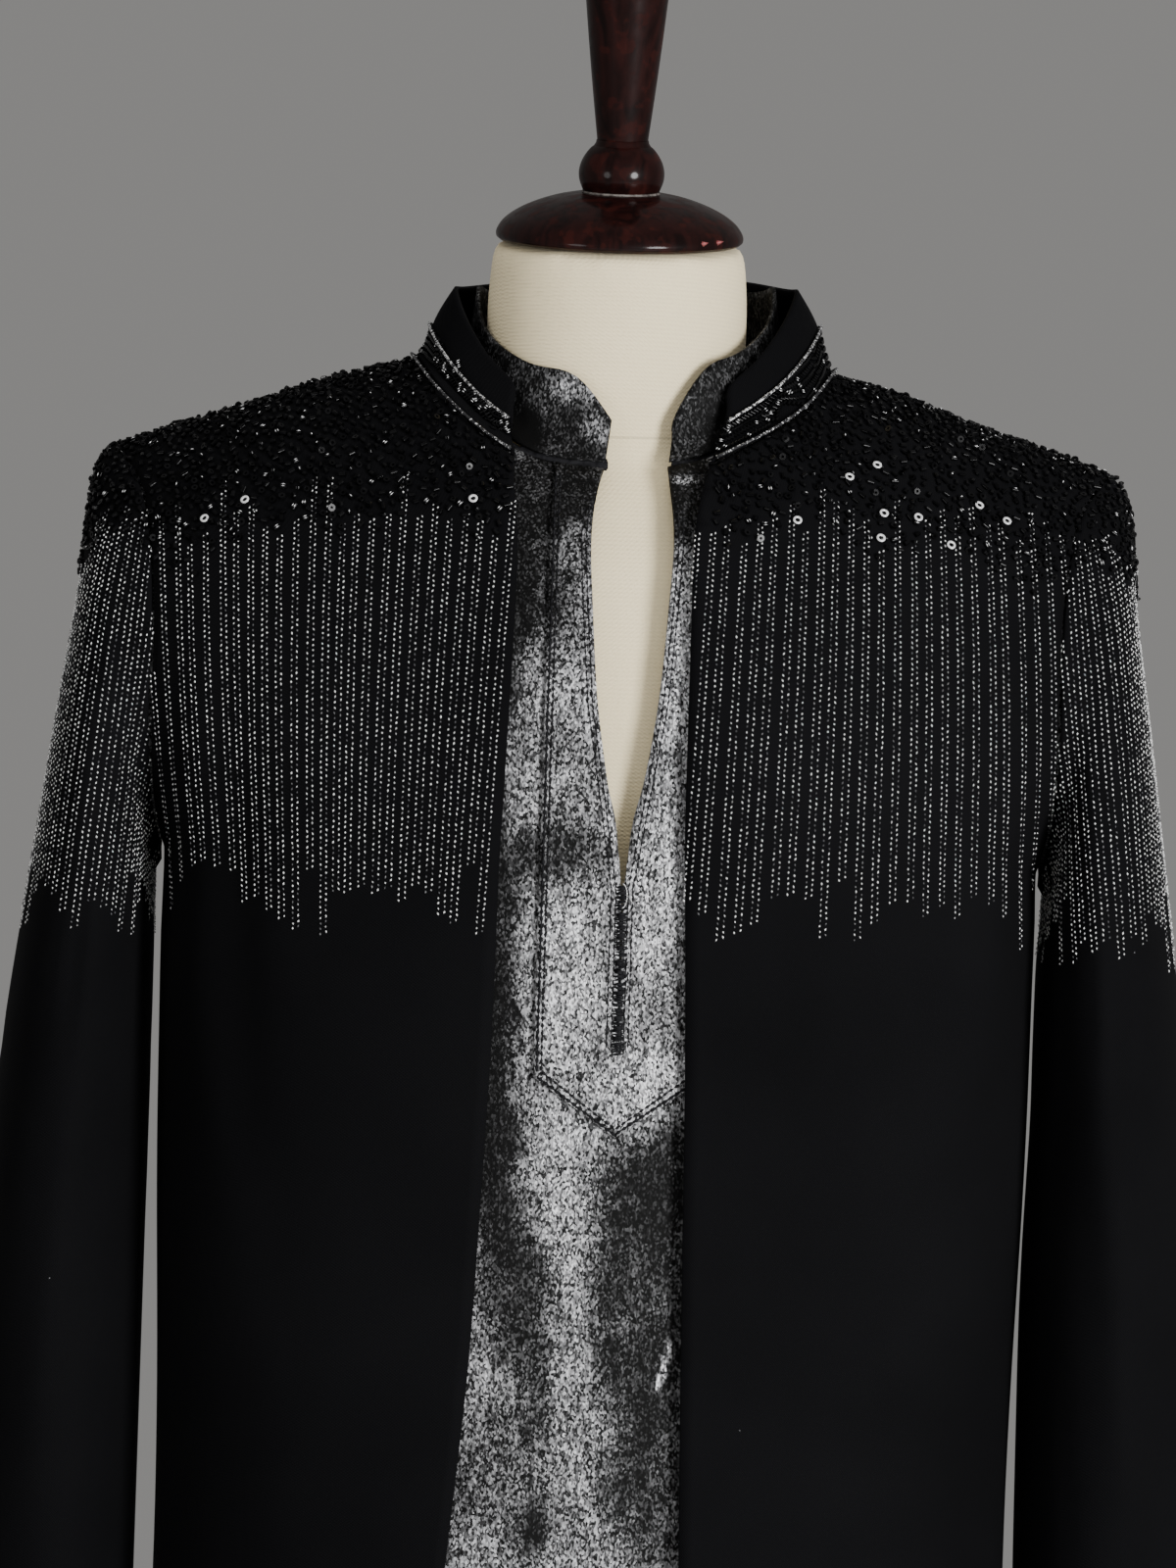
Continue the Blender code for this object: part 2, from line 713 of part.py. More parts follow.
def kurta_placket(name, finish, collection):
    """A strip on each side of the slit, joined in a point below it. Its points are the kurta's, moved out."""
    steps_across, steps_down, steps_tip = 3, 12, 2
    work = bmesh.new()
    for side in (1, -1):
        edge = slit_edge(side)
        rows = []
        for i in range(steps_down + steps_tip + 1):
            row = []
            for j in range(steps_across + 1):
                share = j / steps_across
                if i <= steps_down:
                    top = placket_top(edge, side, share)
                    z = top + (SLIT_BOTTOM - top) * i / steps_down
                else:
                    lower = placket_bottom(share)
                    z = SLIT_BOTTOM + (lower - SLIT_BOTTOM) * (i - steps_down) / steps_tip
                inner = smooth(edge, z) if i < steps_down else side * SLIT_CENTRE
                outer = side * SLIT_CENTRE + PLACKET_HALF_WIDTH
                x = inner + (outer - inner) * share
                spot = locate(KURTA, False, x, z)
                row.append(surface(KURTA, side, False, *spot, KURTA_WALL + PLACKET_LIFT))
            rows.append(row)
        if side == -1:
            rows = [list(reversed(row)) for row in rows]
        grid = [[work.verts.new(point) for point in row] for row in rows]
        for upper, lower in zip(grid, grid[1:]):
            for j in range(len(upper) - 1):
                work.faces.new((upper[j], upper[j + 1], lower[j + 1], lower[j]))
    bmesh.ops.remove_doubles(work, verts=work.verts, dist=CENTRE_POINT)
    mesh = finish_mesh(name, work, body_axis)
    return add_wall(add_object(name, mesh, finish, collection), PLACKET_WALL)


def armhole_loop(layer, side, grow=0.0):
    """The armhole all round: down its front, then up its back. The shoulder tip comes first."""
    loop = []
    for back in (False, True):
        half = []
        for step in range(ARMHOLE_STEPS + 1):
            if step == ARMHOLE_STEPS:
                spot = (math.pi / 2, (layer.armpit - chest_of(back)) / LEVEL_SPAN)
            else:
                spot = locate(layer, back, *armhole(layer, step))
            half.append(surface(layer, side, back, *spot, grow))
        loop.append(half)
    front, behind = loop
    tip = tuple((a + b) / 2 for a, b in zip(front[0], behind[0]))
    pit = tuple((a + b) / 2 for a, b in zip(front[-1], behind[-1]))
    return [tip] + front[1:-1] + [pit] + list(reversed(behind[1:-1]))


def ring_point(ring, turn, side, push):
    """A point of a sleeve ring. Turn is 0 at the outside and positive towards the back."""
    middle_x = (ring.outer_x + ring.inner_x) / 2
    middle_z = (ring.outer_z + ring.inner_z) / 2
    reach_x = (ring.outer_x - ring.inner_x) / 2
    reach_z = (ring.outer_z - ring.inner_z) / 2
    length = math.hypot(reach_x, reach_z)
    scale = 1 + push / length
    x = middle_x + reach_x * scale * math.cos(turn)
    z = middle_z + reach_z * scale * math.cos(turn)
    y = ring.centre_y + (ring.half_depth + push) * math.sin(turn)
    return (side * x, y, z)


def sleeve_rows(layer, side, rings, folds):
    """Rings from the armhole to the cuff. The first few keep part of the armhole's own outline."""
    loop = armhole_loop(layer, side)
    count = len(loop)
    tip, pit = loop[0], loop[ARMHOLE_STEPS]
    clear = layer.wall * 2 + SEAM
    pit_x, pit_z = side * pit[0] + clear, pit[2] + UNDERARM_LIFT
    start = Ring(side * tip[0], tip[2], pit_x, pit_z, SLEEVE_HEAD_DEPTH, 0.0)
    turns = [-2 * math.pi * k / count for k in range(count)]
    rows = []
    for number, ring in enumerate((start,) + tuple(rings)):
        keep = SLEEVE_SETTLE[number] if number < len(SLEEVE_SETTLE) else 0.0
        row = []
        for turn, own in zip(turns, loop):
            under = ((1 - math.cos(turn)) / 2) ** 2
            begun = ring_point(start, turn, side, 0.0)
            moved = (own[0] + side * (SLEEVE_GAP + clear * under), own[1], own[2] + UNDERARM_LIFT * under)
            around = side * math.degrees(turn)
            folded = number >= SLEEVE_FOLD_RING
            push = fold_height(folds, around, ring.outer_z, SLEEVE_FOLD_HEM) if folded else 0.0
            place = ring_point(ring, turn, side, push)
            row.append(tuple(p + keep * (m - b) for p, m, b in zip(place, moved, begun)))
        rows.append(row)
    return rows


def sleeve(name, layer, side, rings, folds, finish, collection):
    rows = sleeve_rows(layer, side, rings, folds)
    middles = sorted((sum(p[2] for p in row) / len(row), sum(p[0] for p in row) / len(row)) for row in rows)
    centres = [Place(z, x) for z, x in middles]

    def axis(z):
        return (smooth(centres, z), 0.0)

    mesh = grid_mesh(name, rows, axis, closed=True)
    return add_wall(add_object(name, mesh, finish, collection), layer.wall)


def tucked(rings, tuck):
    """The same rings with their inner points moved towards the body."""
    return tuple(ring._replace(inner_x=ring.inner_x - smooth(tuck, ring.inner_z)) for ring in rings)


def inner_sleeve_rings(outer):
    """The kurta's sleeve lies inside the jacket's and ends above its cuff."""
    inset = KURTA_SLEEVE_INSET
    rings = []
    for number in KURTA_SLEEVE_RINGS:
        ring = outer[number]
        rings.append(
            Ring(
                ring.outer_x - inset,
                ring.outer_z - (inset if number < KURTA_HEAD_RINGS else 0.0),
                ring.inner_x + inset,
                ring.inner_z + smooth(KURTA_UNDERARM, number),
                ring.half_depth - inset,
                ring.centre_y,
            )
        )
    return rings


def neckline(layer, neck, side, back, edge, steps, grow):
    """Points of a neckline from its centre edge to the shoulder seam."""
    start_z = neck_start(neck, edge)
    start_x = smooth(edge, start_z) if edge else 0.0
    points = []
    for j in range(steps + 1):
        x = neck_x(layer, start_x, j / steps)
        z = smooth(neck, x) if j < steps else ridge(layer, x)
        points.append(surface(layer, side, back, *locate(layer, back, x, z), grow))
    return points


def band_point(band, turn, side):
    """A point of a collar ring. Turn is 0 at the front, 90 degrees at the side."""
    reach = band.front if math.cos(turn) > 0 else band.back
    end_z = band.front_z if math.cos(turn) > 0 else band.back_z
    fall = abs(math.cos(turn)) ** band.fall
    x = side * band.half_width * math.sin(turn)
    z = band.side_z + (end_z - band.side_z) * fall
    return (x, NECK_AXIS_Y - reach * math.cos(turn), z + x * COLLAR_TILT)


def swing(point):
    """Moves a garment's point sideways near the neck, along the shoulders' slope."""
    x, y, z = point
    inner, outer = NECK_SWING_REACH
    grown = ramp((z - NECK_SWING_FOOT) / (NECK_SWING_TOP - NECK_SWING_FOOT))
    moved = x + NECK_SWING * grown * ramp((outer - abs(x)) / (outer - inner))
    rise = smooth(SHOULDER, abs(moved)) - smooth(SHOULDER, abs(x))
    return (moved, y, z + rise)


def swing_cloth(things):
    for thing in things:
        for vertex in thing.data.vertices:
            vertex.co = swing(vertex.co)


def collar_rows(layer, necks, edges, bands, rounding):
    """Rings of a stand collar from one front end round the back to the other, seam first."""
    steps = COLLAR_STEPS
    halves = []
    for side, edge in zip((1, -1), edges):
        front = neckline(layer, necks[0], side, False, edge, steps, layer.wall)
        behind = neckline(layer, necks[1], side, True, (), steps, layer.wall)
        seam = front[:-1] + [tuple((a + b) / 2 for a, b in zip(front[-1], behind[-1]))]
        seam += list(reversed(behind[:-1]))
        seam = [(x, y, z + SEAM_LIFT) for x, y, z in seam]
        rings = [seam]
        for band in bands:
            start = side * front[0][0] + band.end
            first = math.asin(min(max(start / band.half_width, -1.0), 1.0))
            ring = []
            for k in range(2 * steps + 1):
                if k <= steps:
                    turn = first + (math.pi / 2 - first) * k / steps
                else:
                    turn = math.pi / 2 * (1 + (k - steps) / steps)
                ring.append(band_point(band, turn, side))
            rings.append(ring)
        if rounding:
            rings = rounded_end(rings, rounding)
        halves.append(rings)
    right, left = halves
    return [b[:-1] + list(reversed(a)) for a, b in zip(right, left)]


def rounded_end(rings, radius):
    """Bows the top corner of a band's front end down on a quarter circle."""
    top = rings[-1]
    foot = rings[0]
    end = top[0]
    out = [list(ring) for ring in rings]
    for k, point in enumerate(top):
        away = math.dist(end[:2], point[:2])
        if away >= radius:
            break
        drop = radius - math.sqrt(max(radius**2 - (radius - away) ** 2, 0.0))
        full = point[2] - foot[k][2]
        for level in range(1, len(rings)):
            x, y, z = rings[level][k]
            share = (z - foot[k][2]) / full
            out[level][k] = (x, y, z - drop * share)
    return out


def collar(name, layer, rows, finish, collection):
    def axis(_):
        return (0.0, NECK_AXIS_Y)

    mesh = grid_mesh(name, rows, axis)
    return add_wall(add_object(name, mesh, finish, collection), layer.wall, outwards=False)


def beside(points, distance):
    """The same line moved away from the neck's axis."""
    moved = []
    for x, y, z in points:
        length = math.hypot(x, y - NECK_AXIS_Y)
        moved.append((x + x / length * distance, y + (y - NECK_AXIS_Y) / length * distance, z))
    return moved


def leg_point(side, height, share):
    """A point of a trouser leg. Share runs from the front edge round the outside to the back edge."""
    hips_width = smooth(HIPS, height) - side * LEG_PART_X
    front, back = smooth(HIPS, height, 2), smooth(HIPS, height, 3)
    turn = math.pi * share
    upper_x = hips_width * power(math.sin(turn), 2 / SECTION_POWER)
    upper_y = -power(math.cos(turn), 2 / SECTION_POWER) * (front if share < 0.5 else back)
    half = smooth(LEGS, height)
    opening = LEG_GAP / half
    round_turn = opening + (2 * math.pi - 2 * opening) * share
    lower_x = half * (1 - math.cos(round_turn))
    reach = smooth(LEGS, height, 2) if share < 0.5 else smooth(LEGS, height, 3)
    lower_y = -reach * math.sin(round_turn)
    done = ramp((CROTCH_HEIGHT + CROTCH_BLEND - height) / CROTCH_BLEND)
    x = upper_x + (lower_x - upper_x) * done
    y = upper_y + (lower_y - upper_y) * done
    return (LEG_PART_X + side * (x + LEG_GAP), y, height)


def trouser_leg(name, side, finish, collection):
    """One piece round the leg, from its centre front to its centre back, closed below by the inseam."""
    top = WAIST_TOP - WAISTBAND_HEIGHT - SEAM
    heights = [top + (CROTCH_HEIGHT - top) * i / HIP_ROWS for i in range(HIP_ROWS)]
    heights += [CROTCH_HEIGHT + (TROUSER_HEM - CROTCH_HEIGHT) * i / LEG_ROWS for i in range(LEG_ROWS + 1)]
    rows = [[leg_point(side, z, j / LEG_STEPS) for j in range(LEG_STEPS + 1)] for z in heights]

    def axis(z):
        return (LEG_PART_X + side * smooth(LEGS, z), 0.0)

    mesh = grid_mesh(name, rows, axis)
    return add_wall(add_object(name, mesh, finish, collection), TROUSER_WALL, outwards=False)


def waistband(name, finish, collection):
    rows = []
    for z in (WAIST_TOP, WAIST_TOP - WAISTBAND_HEIGHT / 2, WAIST_TOP - WAISTBAND_HEIGHT):
        right = [leg_point(1, z, j / LEG_STEPS) for j in range(LEG_STEPS + 1)]
        left = [leg_point(-1, z, j / LEG_STEPS) for j in range(LEG_STEPS, -1, -1)]
        rows.append(right[1:-1] + left[1:-1])
    mesh = grid_mesh(name, rows, body_axis, closed=True)
    return add_wall(add_object(name, mesh, finish, collection), TROUSER_WALL, outwards=False)


# ---------------------------------------------------------------- the dress form
def form_body(name, finish, collection, helpers):
    """The torso is closed over the shoulders; the neck is a leaning column united with it."""
    columns = FORM_COLUMNS
    heights = [FORM_BOTTOM + (CHEST_FRONT - FORM_BOTTOM) * i / FORM_ROWS for i in range(FORM_ROWS)]
    levels = [(z - CHEST_FRONT) / LEVEL_SPAN for z in heights]
    levels += [math.pi / 2 * i / FORM_ROWS for i in range(FORM_ROWS + 1)]
    rows = []
    for level in levels:
        row = []
        for side, back in ((1, False), (1, True), (-1, True), (-1, False)):
            angles = [math.pi / 2 * k / columns for k in range(columns + 1)]
            if back == (side == 1):
                angles.reverse()
            height = level * LEVEL_SPAN + CHEST_FRONT
            shifted = level if level >= 0 or not back else (height - CHEST_BACK) / LEVEL_SPAN
            row += [surface(FORM, side, back, angle, shifted) for angle in angles[:-1]]
        rows.append(row)
    work = bmesh.new()
    grid = [[work.verts.new(point) for point in row] for row in rows]
    width = len(rows[0])
    for lower, upper in zip(grid, grid[1:]):
        for j in range(width):
            k = (j + 1) % width
            work.faces.new((lower[j], lower[k], upper[k], upper[j]))
    work.faces.new(list(reversed(grid[0])))
    bmesh.ops.remove_doubles(work, verts=work.verts, dist=FORM_POINT)
    bmesh.ops.recalc_face_normals(work, faces=work.faces)
    mesh = bpy.data.meshes.new(name)
    work.to_mesh(mesh)
    work.free()
    mesh.shade_smooth()
    body = add_object(name, mesh, finish, collection)
    neck = form_neck(finish, helpers)
    join = body.modifiers.new("neck", "BOOLEAN")
    join.operation = "UNION"
    join.object = neck
    return body


def neck_centre_y(z):
    return NECK_FOOT_Y - max(z - NECK_FOOT, 0.0) * NECK_LEAN


def form_neck(finish, helpers):
    """A column that leans forward; its rings tilt with it towards the top."""
    count = NECK_STEPS
    work = bmesh.new()
    rings = []
    for z, spread in NECK_RINGS:
        tilt = NECK_TILT * ramp((z - NECK_FOOT) / (NECK_TOP - NECK_FOOT))
        ring = []
        for k in range(count):
            turn = 2 * math.pi * k / count
            x = NECK_RADIUS_X * spread * math.cos(turn)
            y = NECK_RADIUS_Y * spread * math.sin(turn)
            spot = (x, neck_centre_y(z) + y * math.cos(tilt), z + y * math.sin(tilt))
            ring.append(work.verts.new(spot))
        rings.append(ring)
    for lower, upper in zip(rings, rings[1:]):
        for j in range(count):
            k = (j + 1) % count
            work.faces.new((lower[j], lower[k], upper[k], upper[j]))
    work.faces.new(list(reversed(rings[0])))
    work.faces.new(rings[-1])
    bmesh.ops.recalc_face_normals(work, faces=work.faces)
    mesh = bpy.data.meshes.new("neck_column")
    work.to_mesh(mesh)
    work.free()
    mesh.shade_smooth()
    helper = add_object("neck_column", mesh, finish, helpers)
    helper.hide_render = True
    helper.display_type = "WIRE"
    return helper


def neck_fittings(finish, collection):
    """The turned cap, ball and finial share the neck's leaning axis."""
    foot_y = neck_centre_y(NECK_TOP)
    lift = CAP_LIFT
    for name, profile in (("form_cap", CAP), ("form_ball", BALL), ("form_finial", FINIAL)):
        thing = turned(name, profile, FITTING_STEPS, finish, collection)
        thing.rotation_euler = (NECK_TILT, 0.0, 0.0)
        y = foot_y - lift * math.sin(NECK_TILT)
        thing.location = (0.0, y, NECK_TOP + lift * math.cos(NECK_TILT))
        lift += profile[0].height + FITTING_GAP


def stand(wood, metal, collection):
    """A round wooden base with a metal pole up to the torso."""
    rim = BASE_RIM
    base = (
        Turn(0.0, BASE_HEIGHT),
        Turn(BASE_RADIUS - 3 * rim, BASE_HEIGHT),
        Turn(BASE_RADIUS - rim, BASE_HEIGHT - 0.3 * rim),
        Turn(BASE_RADIUS, BASE_HEIGHT - 1.3 * rim),
        Turn(BASE_RADIUS, rim),
        Turn(BASE_RADIUS - 0.4 * rim, 0.0),
        Turn(0.0, 0.0),
    )
    turned("form_base", base, BASE_STEPS, wood, collection)
    top = FORM_BOTTOM - POLE_GAP
    foot = BASE_HEIGHT + POLE_GAP
    flange = POLE_FLANGE
    pole = (
        Turn(0.0, top),
        Turn(POLE_RADIUS, top),
        Turn(POLE_RADIUS, foot + 0.75 * flange),
        Turn(POLE_RADIUS + 0.5 * flange, foot + 0.3 * flange),
        Turn(POLE_RADIUS + flange, foot + 0.2 * flange),
        Turn(POLE_RADIUS + flange, foot),
        Turn(0.0, foot),
    )
    turned("form_pole", pole, POLE_STEPS, metal, collection)


def main():
    clear_scene()
    parts = new_collection("indo_western_suit")
    helpers = new_collection("helpers")
    helpers.hide_render = True
    black = material("jacket_cloth", (0.012, 0.012, 0.014), 0.75)
    lame = material("kurta_lame", (0.42, 0.42, 0.44), 0.38, 0.7)
    trouser = material("trouser_cloth", (0.012, 0.012, 0.013), 0.85)
    silver = material("silver_cord", (0.62, 0.62, 0.64), 0.35, 0.9)
    cream = material("form_cover", (0.66, 0.62, 0.50), 0.85)
    wood = material("dark_wood", (0.055, 0.016, 0.011), 0.22)
    steel = material("stand_metal", (0.05, 0.05, 0.055), 0.35, 0.9)

    form_body("form_torso", cream, parts, helpers)
    neck_fittings(wood, parts)
    stand(wood, steel, parts)

    jacket_front("jacket_front_left", 1, JACKET_EDGE_LEFT, black, parts)
    jacket_front("jacket_front_right", -1, JACKET_EDGE_RIGHT, black, parts)
    whole_back("jacket_back", JACKET, JACKET_BACK_NECK, JACKET_HEM, (5, 6, 9), black, parts)
    left_rings = tucked(SLEEVE, LEFT_SLEEVE_TUCK)
    sleeve("jacket_sleeve_left", JACKET, 1, left_rings, SLEEVE_FOLDS, black, parts)
    sleeve("jacket_sleeve_right", JACKET, -1, SLEEVE, SLEEVE_FOLDS, black, parts)
    jacket_necks = (JACKET_FRONT_NECK, JACKET_BACK_NECK)
    jacket_edges = (JACKET_EDGE_LEFT, JACKET_EDGE_RIGHT)
    rows = collar_rows(JACKET, jacket_necks, jacket_edges, JACKET_COLLAR, 0.0)
    collar("jacket_collar", JACKET, rows, black, parts)
    upper = [swing(point) for point in beside(rows[2], UPPER_CORD_LIFT)]
    cord("collar_cord_upper", upper, CORD_RADIUS, silver, parts)
    lower = [tuple(a + (b - a) * LOWER_CORD_SHARE for a, b in zip(p, q)) for p, q in zip(rows[0], rows[1])]
    lower = [swing(point) for point in beside(lower, LOWER_CORD_LIFT)]
    cord("collar_cord_lower", lower, CORD_RADIUS, silver, parts)

    kurta_front("kurta_front", lame, parts)
    kurta_placket("kurta_placket", lame, parts)
    whole_back("kurta_back", KURTA, KURTA_BACK_NECK, KURTA_HEM, (4, 4, 6), lame, parts)
    sleeve("kurta_sleeve_left", KURTA, 1, inner_sleeve_rings(left_rings), SLEEVE_FOLDS, lame, parts)
    sleeve("kurta_sleeve_right", KURTA, -1, inner_sleeve_rings(SLEEVE), SLEEVE_FOLDS, lame, parts)
    kurta_necks = (KURTA_FRONT_NECK, KURTA_BACK_NECK)
    kurta_rows = collar_rows(
        KURTA, kurta_necks, (slit_edge(1), slit_edge(-1)), KURTA_COLLAR, KURTA_COLLAR_ROUNDING
    )
    collar("kurta_collar", KURTA, kurta_rows, lame, parts)
    cloth = [t for t in parts.objects if t.name.startswith(("jacket", "kurta"))]
    swing_cloth(cloth)

    trouser_leg("trouser_leg_left", 1, trouser, parts)
    trouser_leg("trouser_leg_right", -1, trouser, parts)
    waistband("trouser_waistband", trouser, parts)


main()
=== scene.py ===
# %% [markdown]
# # An indo-western suit on a dress form
# An open black long jacket hangs over a silver and black metallic kurta and plain black trousers, on a
# limbless dress form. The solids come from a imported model: they give every piece its place and size. Here
# each piece of cloth gets a finer shell, its creases, its weave and its hand embroidery. Everything is in
# metres, +Z is up and the wearer faces -Y.

import math
import random

import bmesh
import bpy
from mathutils import Matrix, Vector
from mathutils.bvhtree import BVHTree


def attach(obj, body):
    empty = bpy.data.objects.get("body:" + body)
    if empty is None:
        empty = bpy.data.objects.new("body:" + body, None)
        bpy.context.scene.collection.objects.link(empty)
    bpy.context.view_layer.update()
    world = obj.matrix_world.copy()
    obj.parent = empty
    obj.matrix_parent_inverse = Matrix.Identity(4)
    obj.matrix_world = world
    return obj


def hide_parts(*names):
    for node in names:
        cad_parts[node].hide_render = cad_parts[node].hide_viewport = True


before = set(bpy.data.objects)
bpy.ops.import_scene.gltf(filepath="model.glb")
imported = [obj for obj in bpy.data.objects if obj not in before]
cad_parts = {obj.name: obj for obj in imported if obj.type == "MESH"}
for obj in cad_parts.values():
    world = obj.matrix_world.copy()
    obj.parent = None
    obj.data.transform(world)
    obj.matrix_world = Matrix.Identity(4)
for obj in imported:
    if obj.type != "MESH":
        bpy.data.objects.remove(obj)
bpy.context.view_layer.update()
chance = random.Random(7)
print("nodes:", len(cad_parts))

# %% [markdown]
# ## Camera
# The photograph is taken straight on, at chest height, from about 2.4 m. Its long side spans 0.70 m at the
# wearer's centre, which gives the focal length. The picture leans a little, so the camera is rolled.

# %% Camera
def placed(name, data):
    """An object that shows this data, linked to the scene."""
    made = bpy.data.objects.new(name, data)
    bpy.context.collection.objects.link(made)
    return made


EYE = Vector((-0.0064, -2.4, 1.28))
LENS, SENSOR = 122.7, 36.0  # millimetres
ROLL = math.radians(1.8)
camera = placed("camera", bpy.data.cameras.new("camera"))
camera.data.lens, camera.data.sensor_width = LENS, SENSOR
camera.location = EYE
level_view = Matrix.Rotation(math.radians(90), 3, "X")
camera.rotation_euler = (level_view @ Matrix.Rotation(ROLL, 3, "Z")).to_euler()
bpy.context.scene.camera = camera
print("camera at", tuple(EYE))

# %% [markdown]
# ## Studio
# Two soft boxes stand low on both sides, as the pair of highlights on the wooden ball shows. The one on the
# wearer's left is the brighter, and the form's neck turns grey towards the other side. A weak light from
# above and one from behind draw the shoulders and the back of the black cloth, and don't show in the
# varnish. The floor is a plain pale disc, and the air has a soft grey of its own.

# %% Lights, world and floor
SOFT_BOXES = (  # name, place, what it faces, width, height, power
    ("key_light", (1.55, -2.25, 1.25), (0.0, 0.0, 1.30), 0.9, 1.1, 96.0),
    ("fill_light", (-1.80, -2.20, 1.20), (0.0, 0.0, 1.30), 0.9, 1.1, 12.0),
    ("top_light", (0.0, -1.2, 3.3), (0.0, 0.0, 1.3), 2.4, 1.8, 24.0),
    ("back_light", (0.4, 2.9, 2.2), (0.0, 0.0, 1.0), 2.4, 1.6, 60.0),
)
SEEN_IN_VARNISH = ("key_light", "fill_light")
AIR_TONE, AIR_STRENGTH = (0.60, 0.59, 0.575, 1.0), 0.40
FLOOR_RADIUS = 4.0

for name, place, target, width, height, power in SOFT_BOXES:
    light = bpy.data.lights.new(name, "AREA")
    light.shape = "ELLIPSE"
    light.size, light.size_y, light.energy = width, height, power
    lamp = placed(name, light)
    lamp.location = place
    lamp.visible_glossy = name in SEEN_IN_VARNISH
    lamp.rotation_euler = (Vector(target) - Vector(place)).to_track_quat("-Z", "Y").to_euler()
world = bpy.data.worlds.new("studio_air")
world.use_nodes = True
air = world.node_tree.nodes["Background"].inputs
air["Color"].default_value, air["Strength"].default_value = AIR_TONE, AIR_STRENGTH
bpy.context.scene.world = world

floor_mesh = bpy.data.meshes.new("floor")
build = bmesh.new()
bmesh.ops.create_circle(build, cap_ends=True, segments=96, radius=FLOOR_RADIUS)
build.to_mesh(floor_mesh)
build.free()
floor = placed("floor", floor_mesh)
print("soft boxes:", len(SOFT_BOXES))

# %% [markdown]
# ## Node helpers
# Materials here are made of nodes only. `put` adds a node, sets its fields and fills its sockets, by name
# or by number, with a value or a link, so that each effect reads as a short list. `effect` opens a node
# group with named sockets.

# %% Node helpers
def fill(tree, sockets, values):
    """Gives each named or numbered socket its value or link."""
    for key, value in values.items():
        socket = sockets[int(key[1:]) if key[0] == "_" else key.replace("_", " ")]
        if isinstance(value, bpy.types.NodeSocket):
            tree.links.new(value, socket)
        else:
            socket.default_value = value


def put(tree, kind, fields=None, **values):
    made = tree.nodes.new("ShaderNode" + kind)
    for key, value in (fields or {}).items():
        setattr(made, key, value)
    fill(tree, made.inputs, values)
    return made


def effect(name, inputs, outputs):
    tree = bpy.data.node_groups.new(name, "ShaderNodeTree")
    for label, kind, value in inputs:
        socket = tree.interface.new_socket(label, in_out="INPUT", socket_type="NodeSocket" + kind)
        socket.default_value = value
    for label, kind in outputs:
        tree.interface.new_socket(label, in_out="OUTPUT", socket_type="NodeSocket" + kind)
    return tree, tree.nodes.new("NodeGroupInput").outputs, tree.nodes.new("NodeGroupOutput").inputs


def calc(tree, operation, a, b=0.0, clamp=False):
    return put(tree, "Math", {"operation": operation, "use_clamp": clamp}, _0=a, _1=b).outputs[0]


def spread(tree, value, low, high, out_low=0.0, out_high=1.0):
    """Maps low to high softly onto another span."""
    ends = {"From_Min": low, "From_Max": high, "To_Min": out_low, "To_Max": out_high}
    return put(tree, "MapRange", {"interpolation_type": "SMOOTHSTEP"}, Value=value, **ends).outputs[0]


def blend_colour(tree, share, a, b):
    """Mixes two colours. Each is red, green and blue, or a link."""
    a, b = [(*tone, 1.0) if isinstance(tone, tuple) else tone for tone in (a, b)]
    return put(tree, "Mix", {"data_type": "RGBA"}, _0=share, _6=a, _7=b).outputs[2]


def vector(tree, operation, *terms):
    terms = {f"_{k}": term for k, term in enumerate(terms)}
    return put(tree, "VectorMath", {"operation": operation}, **terms).outputs


def whereabouts(tree):
    """The point of the surface, in the frame's metres."""
    return put(tree, "TexCoord").outputs["Object"]


def stretched(tree, size):
    """The point of the surface, scaled along each axis."""
    return vector(tree, "MULTIPLY", whereabouts(tree), size)[0]


print("node helpers ready")

# %% [markdown]
# ## Effects that several materials share
# Cloth shows its threads, slow changes of tone, and dust. Each of these is one group with its own sockets:
# `thread_weave` gives a height for a Bump node, `slow_tone` a mask, `lint` the specks that black cloth
# picks up, `foil_grain` the flakes of metallic cloth and `soft_spot` a cloudy patch at a place.

# %% Weave
tree, given, gives = effect(
    "thread_weave",
    [("Across", "Float", 900.0), ("Down", "Float", 900.0), ("Unevenness", "Float", 0.3)],
    [("Height", "Float"), ("Thread", "Float")],
)
where = whereabouts(tree)
split = put(tree, "SeparateXYZ", _0=where).outputs
round_body = calc(tree, "ADD", split[0], split[1])
warp = calc(tree, "SINE", calc(tree, "MULTIPLY", round_body, given["Across"]))
weft = calc(tree, "SINE", calc(tree, "MULTIPLY", split[2], given["Down"]))
cross = calc(tree, "MULTIPLY", warp, weft)
fuzz = put(tree, "TexNoise", Vector=where, Scale=1400.0, Detail=2.0).outputs[0]
rough = calc(tree, "MULTIPLY", calc(tree, "SUBTRACT", fuzz, 0.5), given["Unevenness"])
tree.links.new(calc(tree, "ADD", calc(tree, "MULTIPLY", cross, 0.5), rough), gives["Height"])
tree.links.new(calc(tree, "ADD", calc(tree, "MULTIPLY", cross, 0.5), 0.5), gives["Thread"])
thread_weave = tree
print("thread_weave nodes:", len(tree.nodes))

# %% Slow tone and lint
tree, given, gives = effect(
    "slow_tone", [("Scale", "Float", 8.0), ("Contrast", "Float", 1.0)], [("Mask", "Float")]
)
noise = put(tree, "TexNoise", Vector=whereabouts(tree), Scale=given["Scale"], Detail=4.0)
centred = calc(tree, "MULTIPLY", calc(tree, "SUBTRACT", noise.outputs[0], 0.5), given["Contrast"])
tree.links.new(calc(tree, "ADD", centred, 0.5, clamp=True), gives["Mask"])
slow_tone = tree

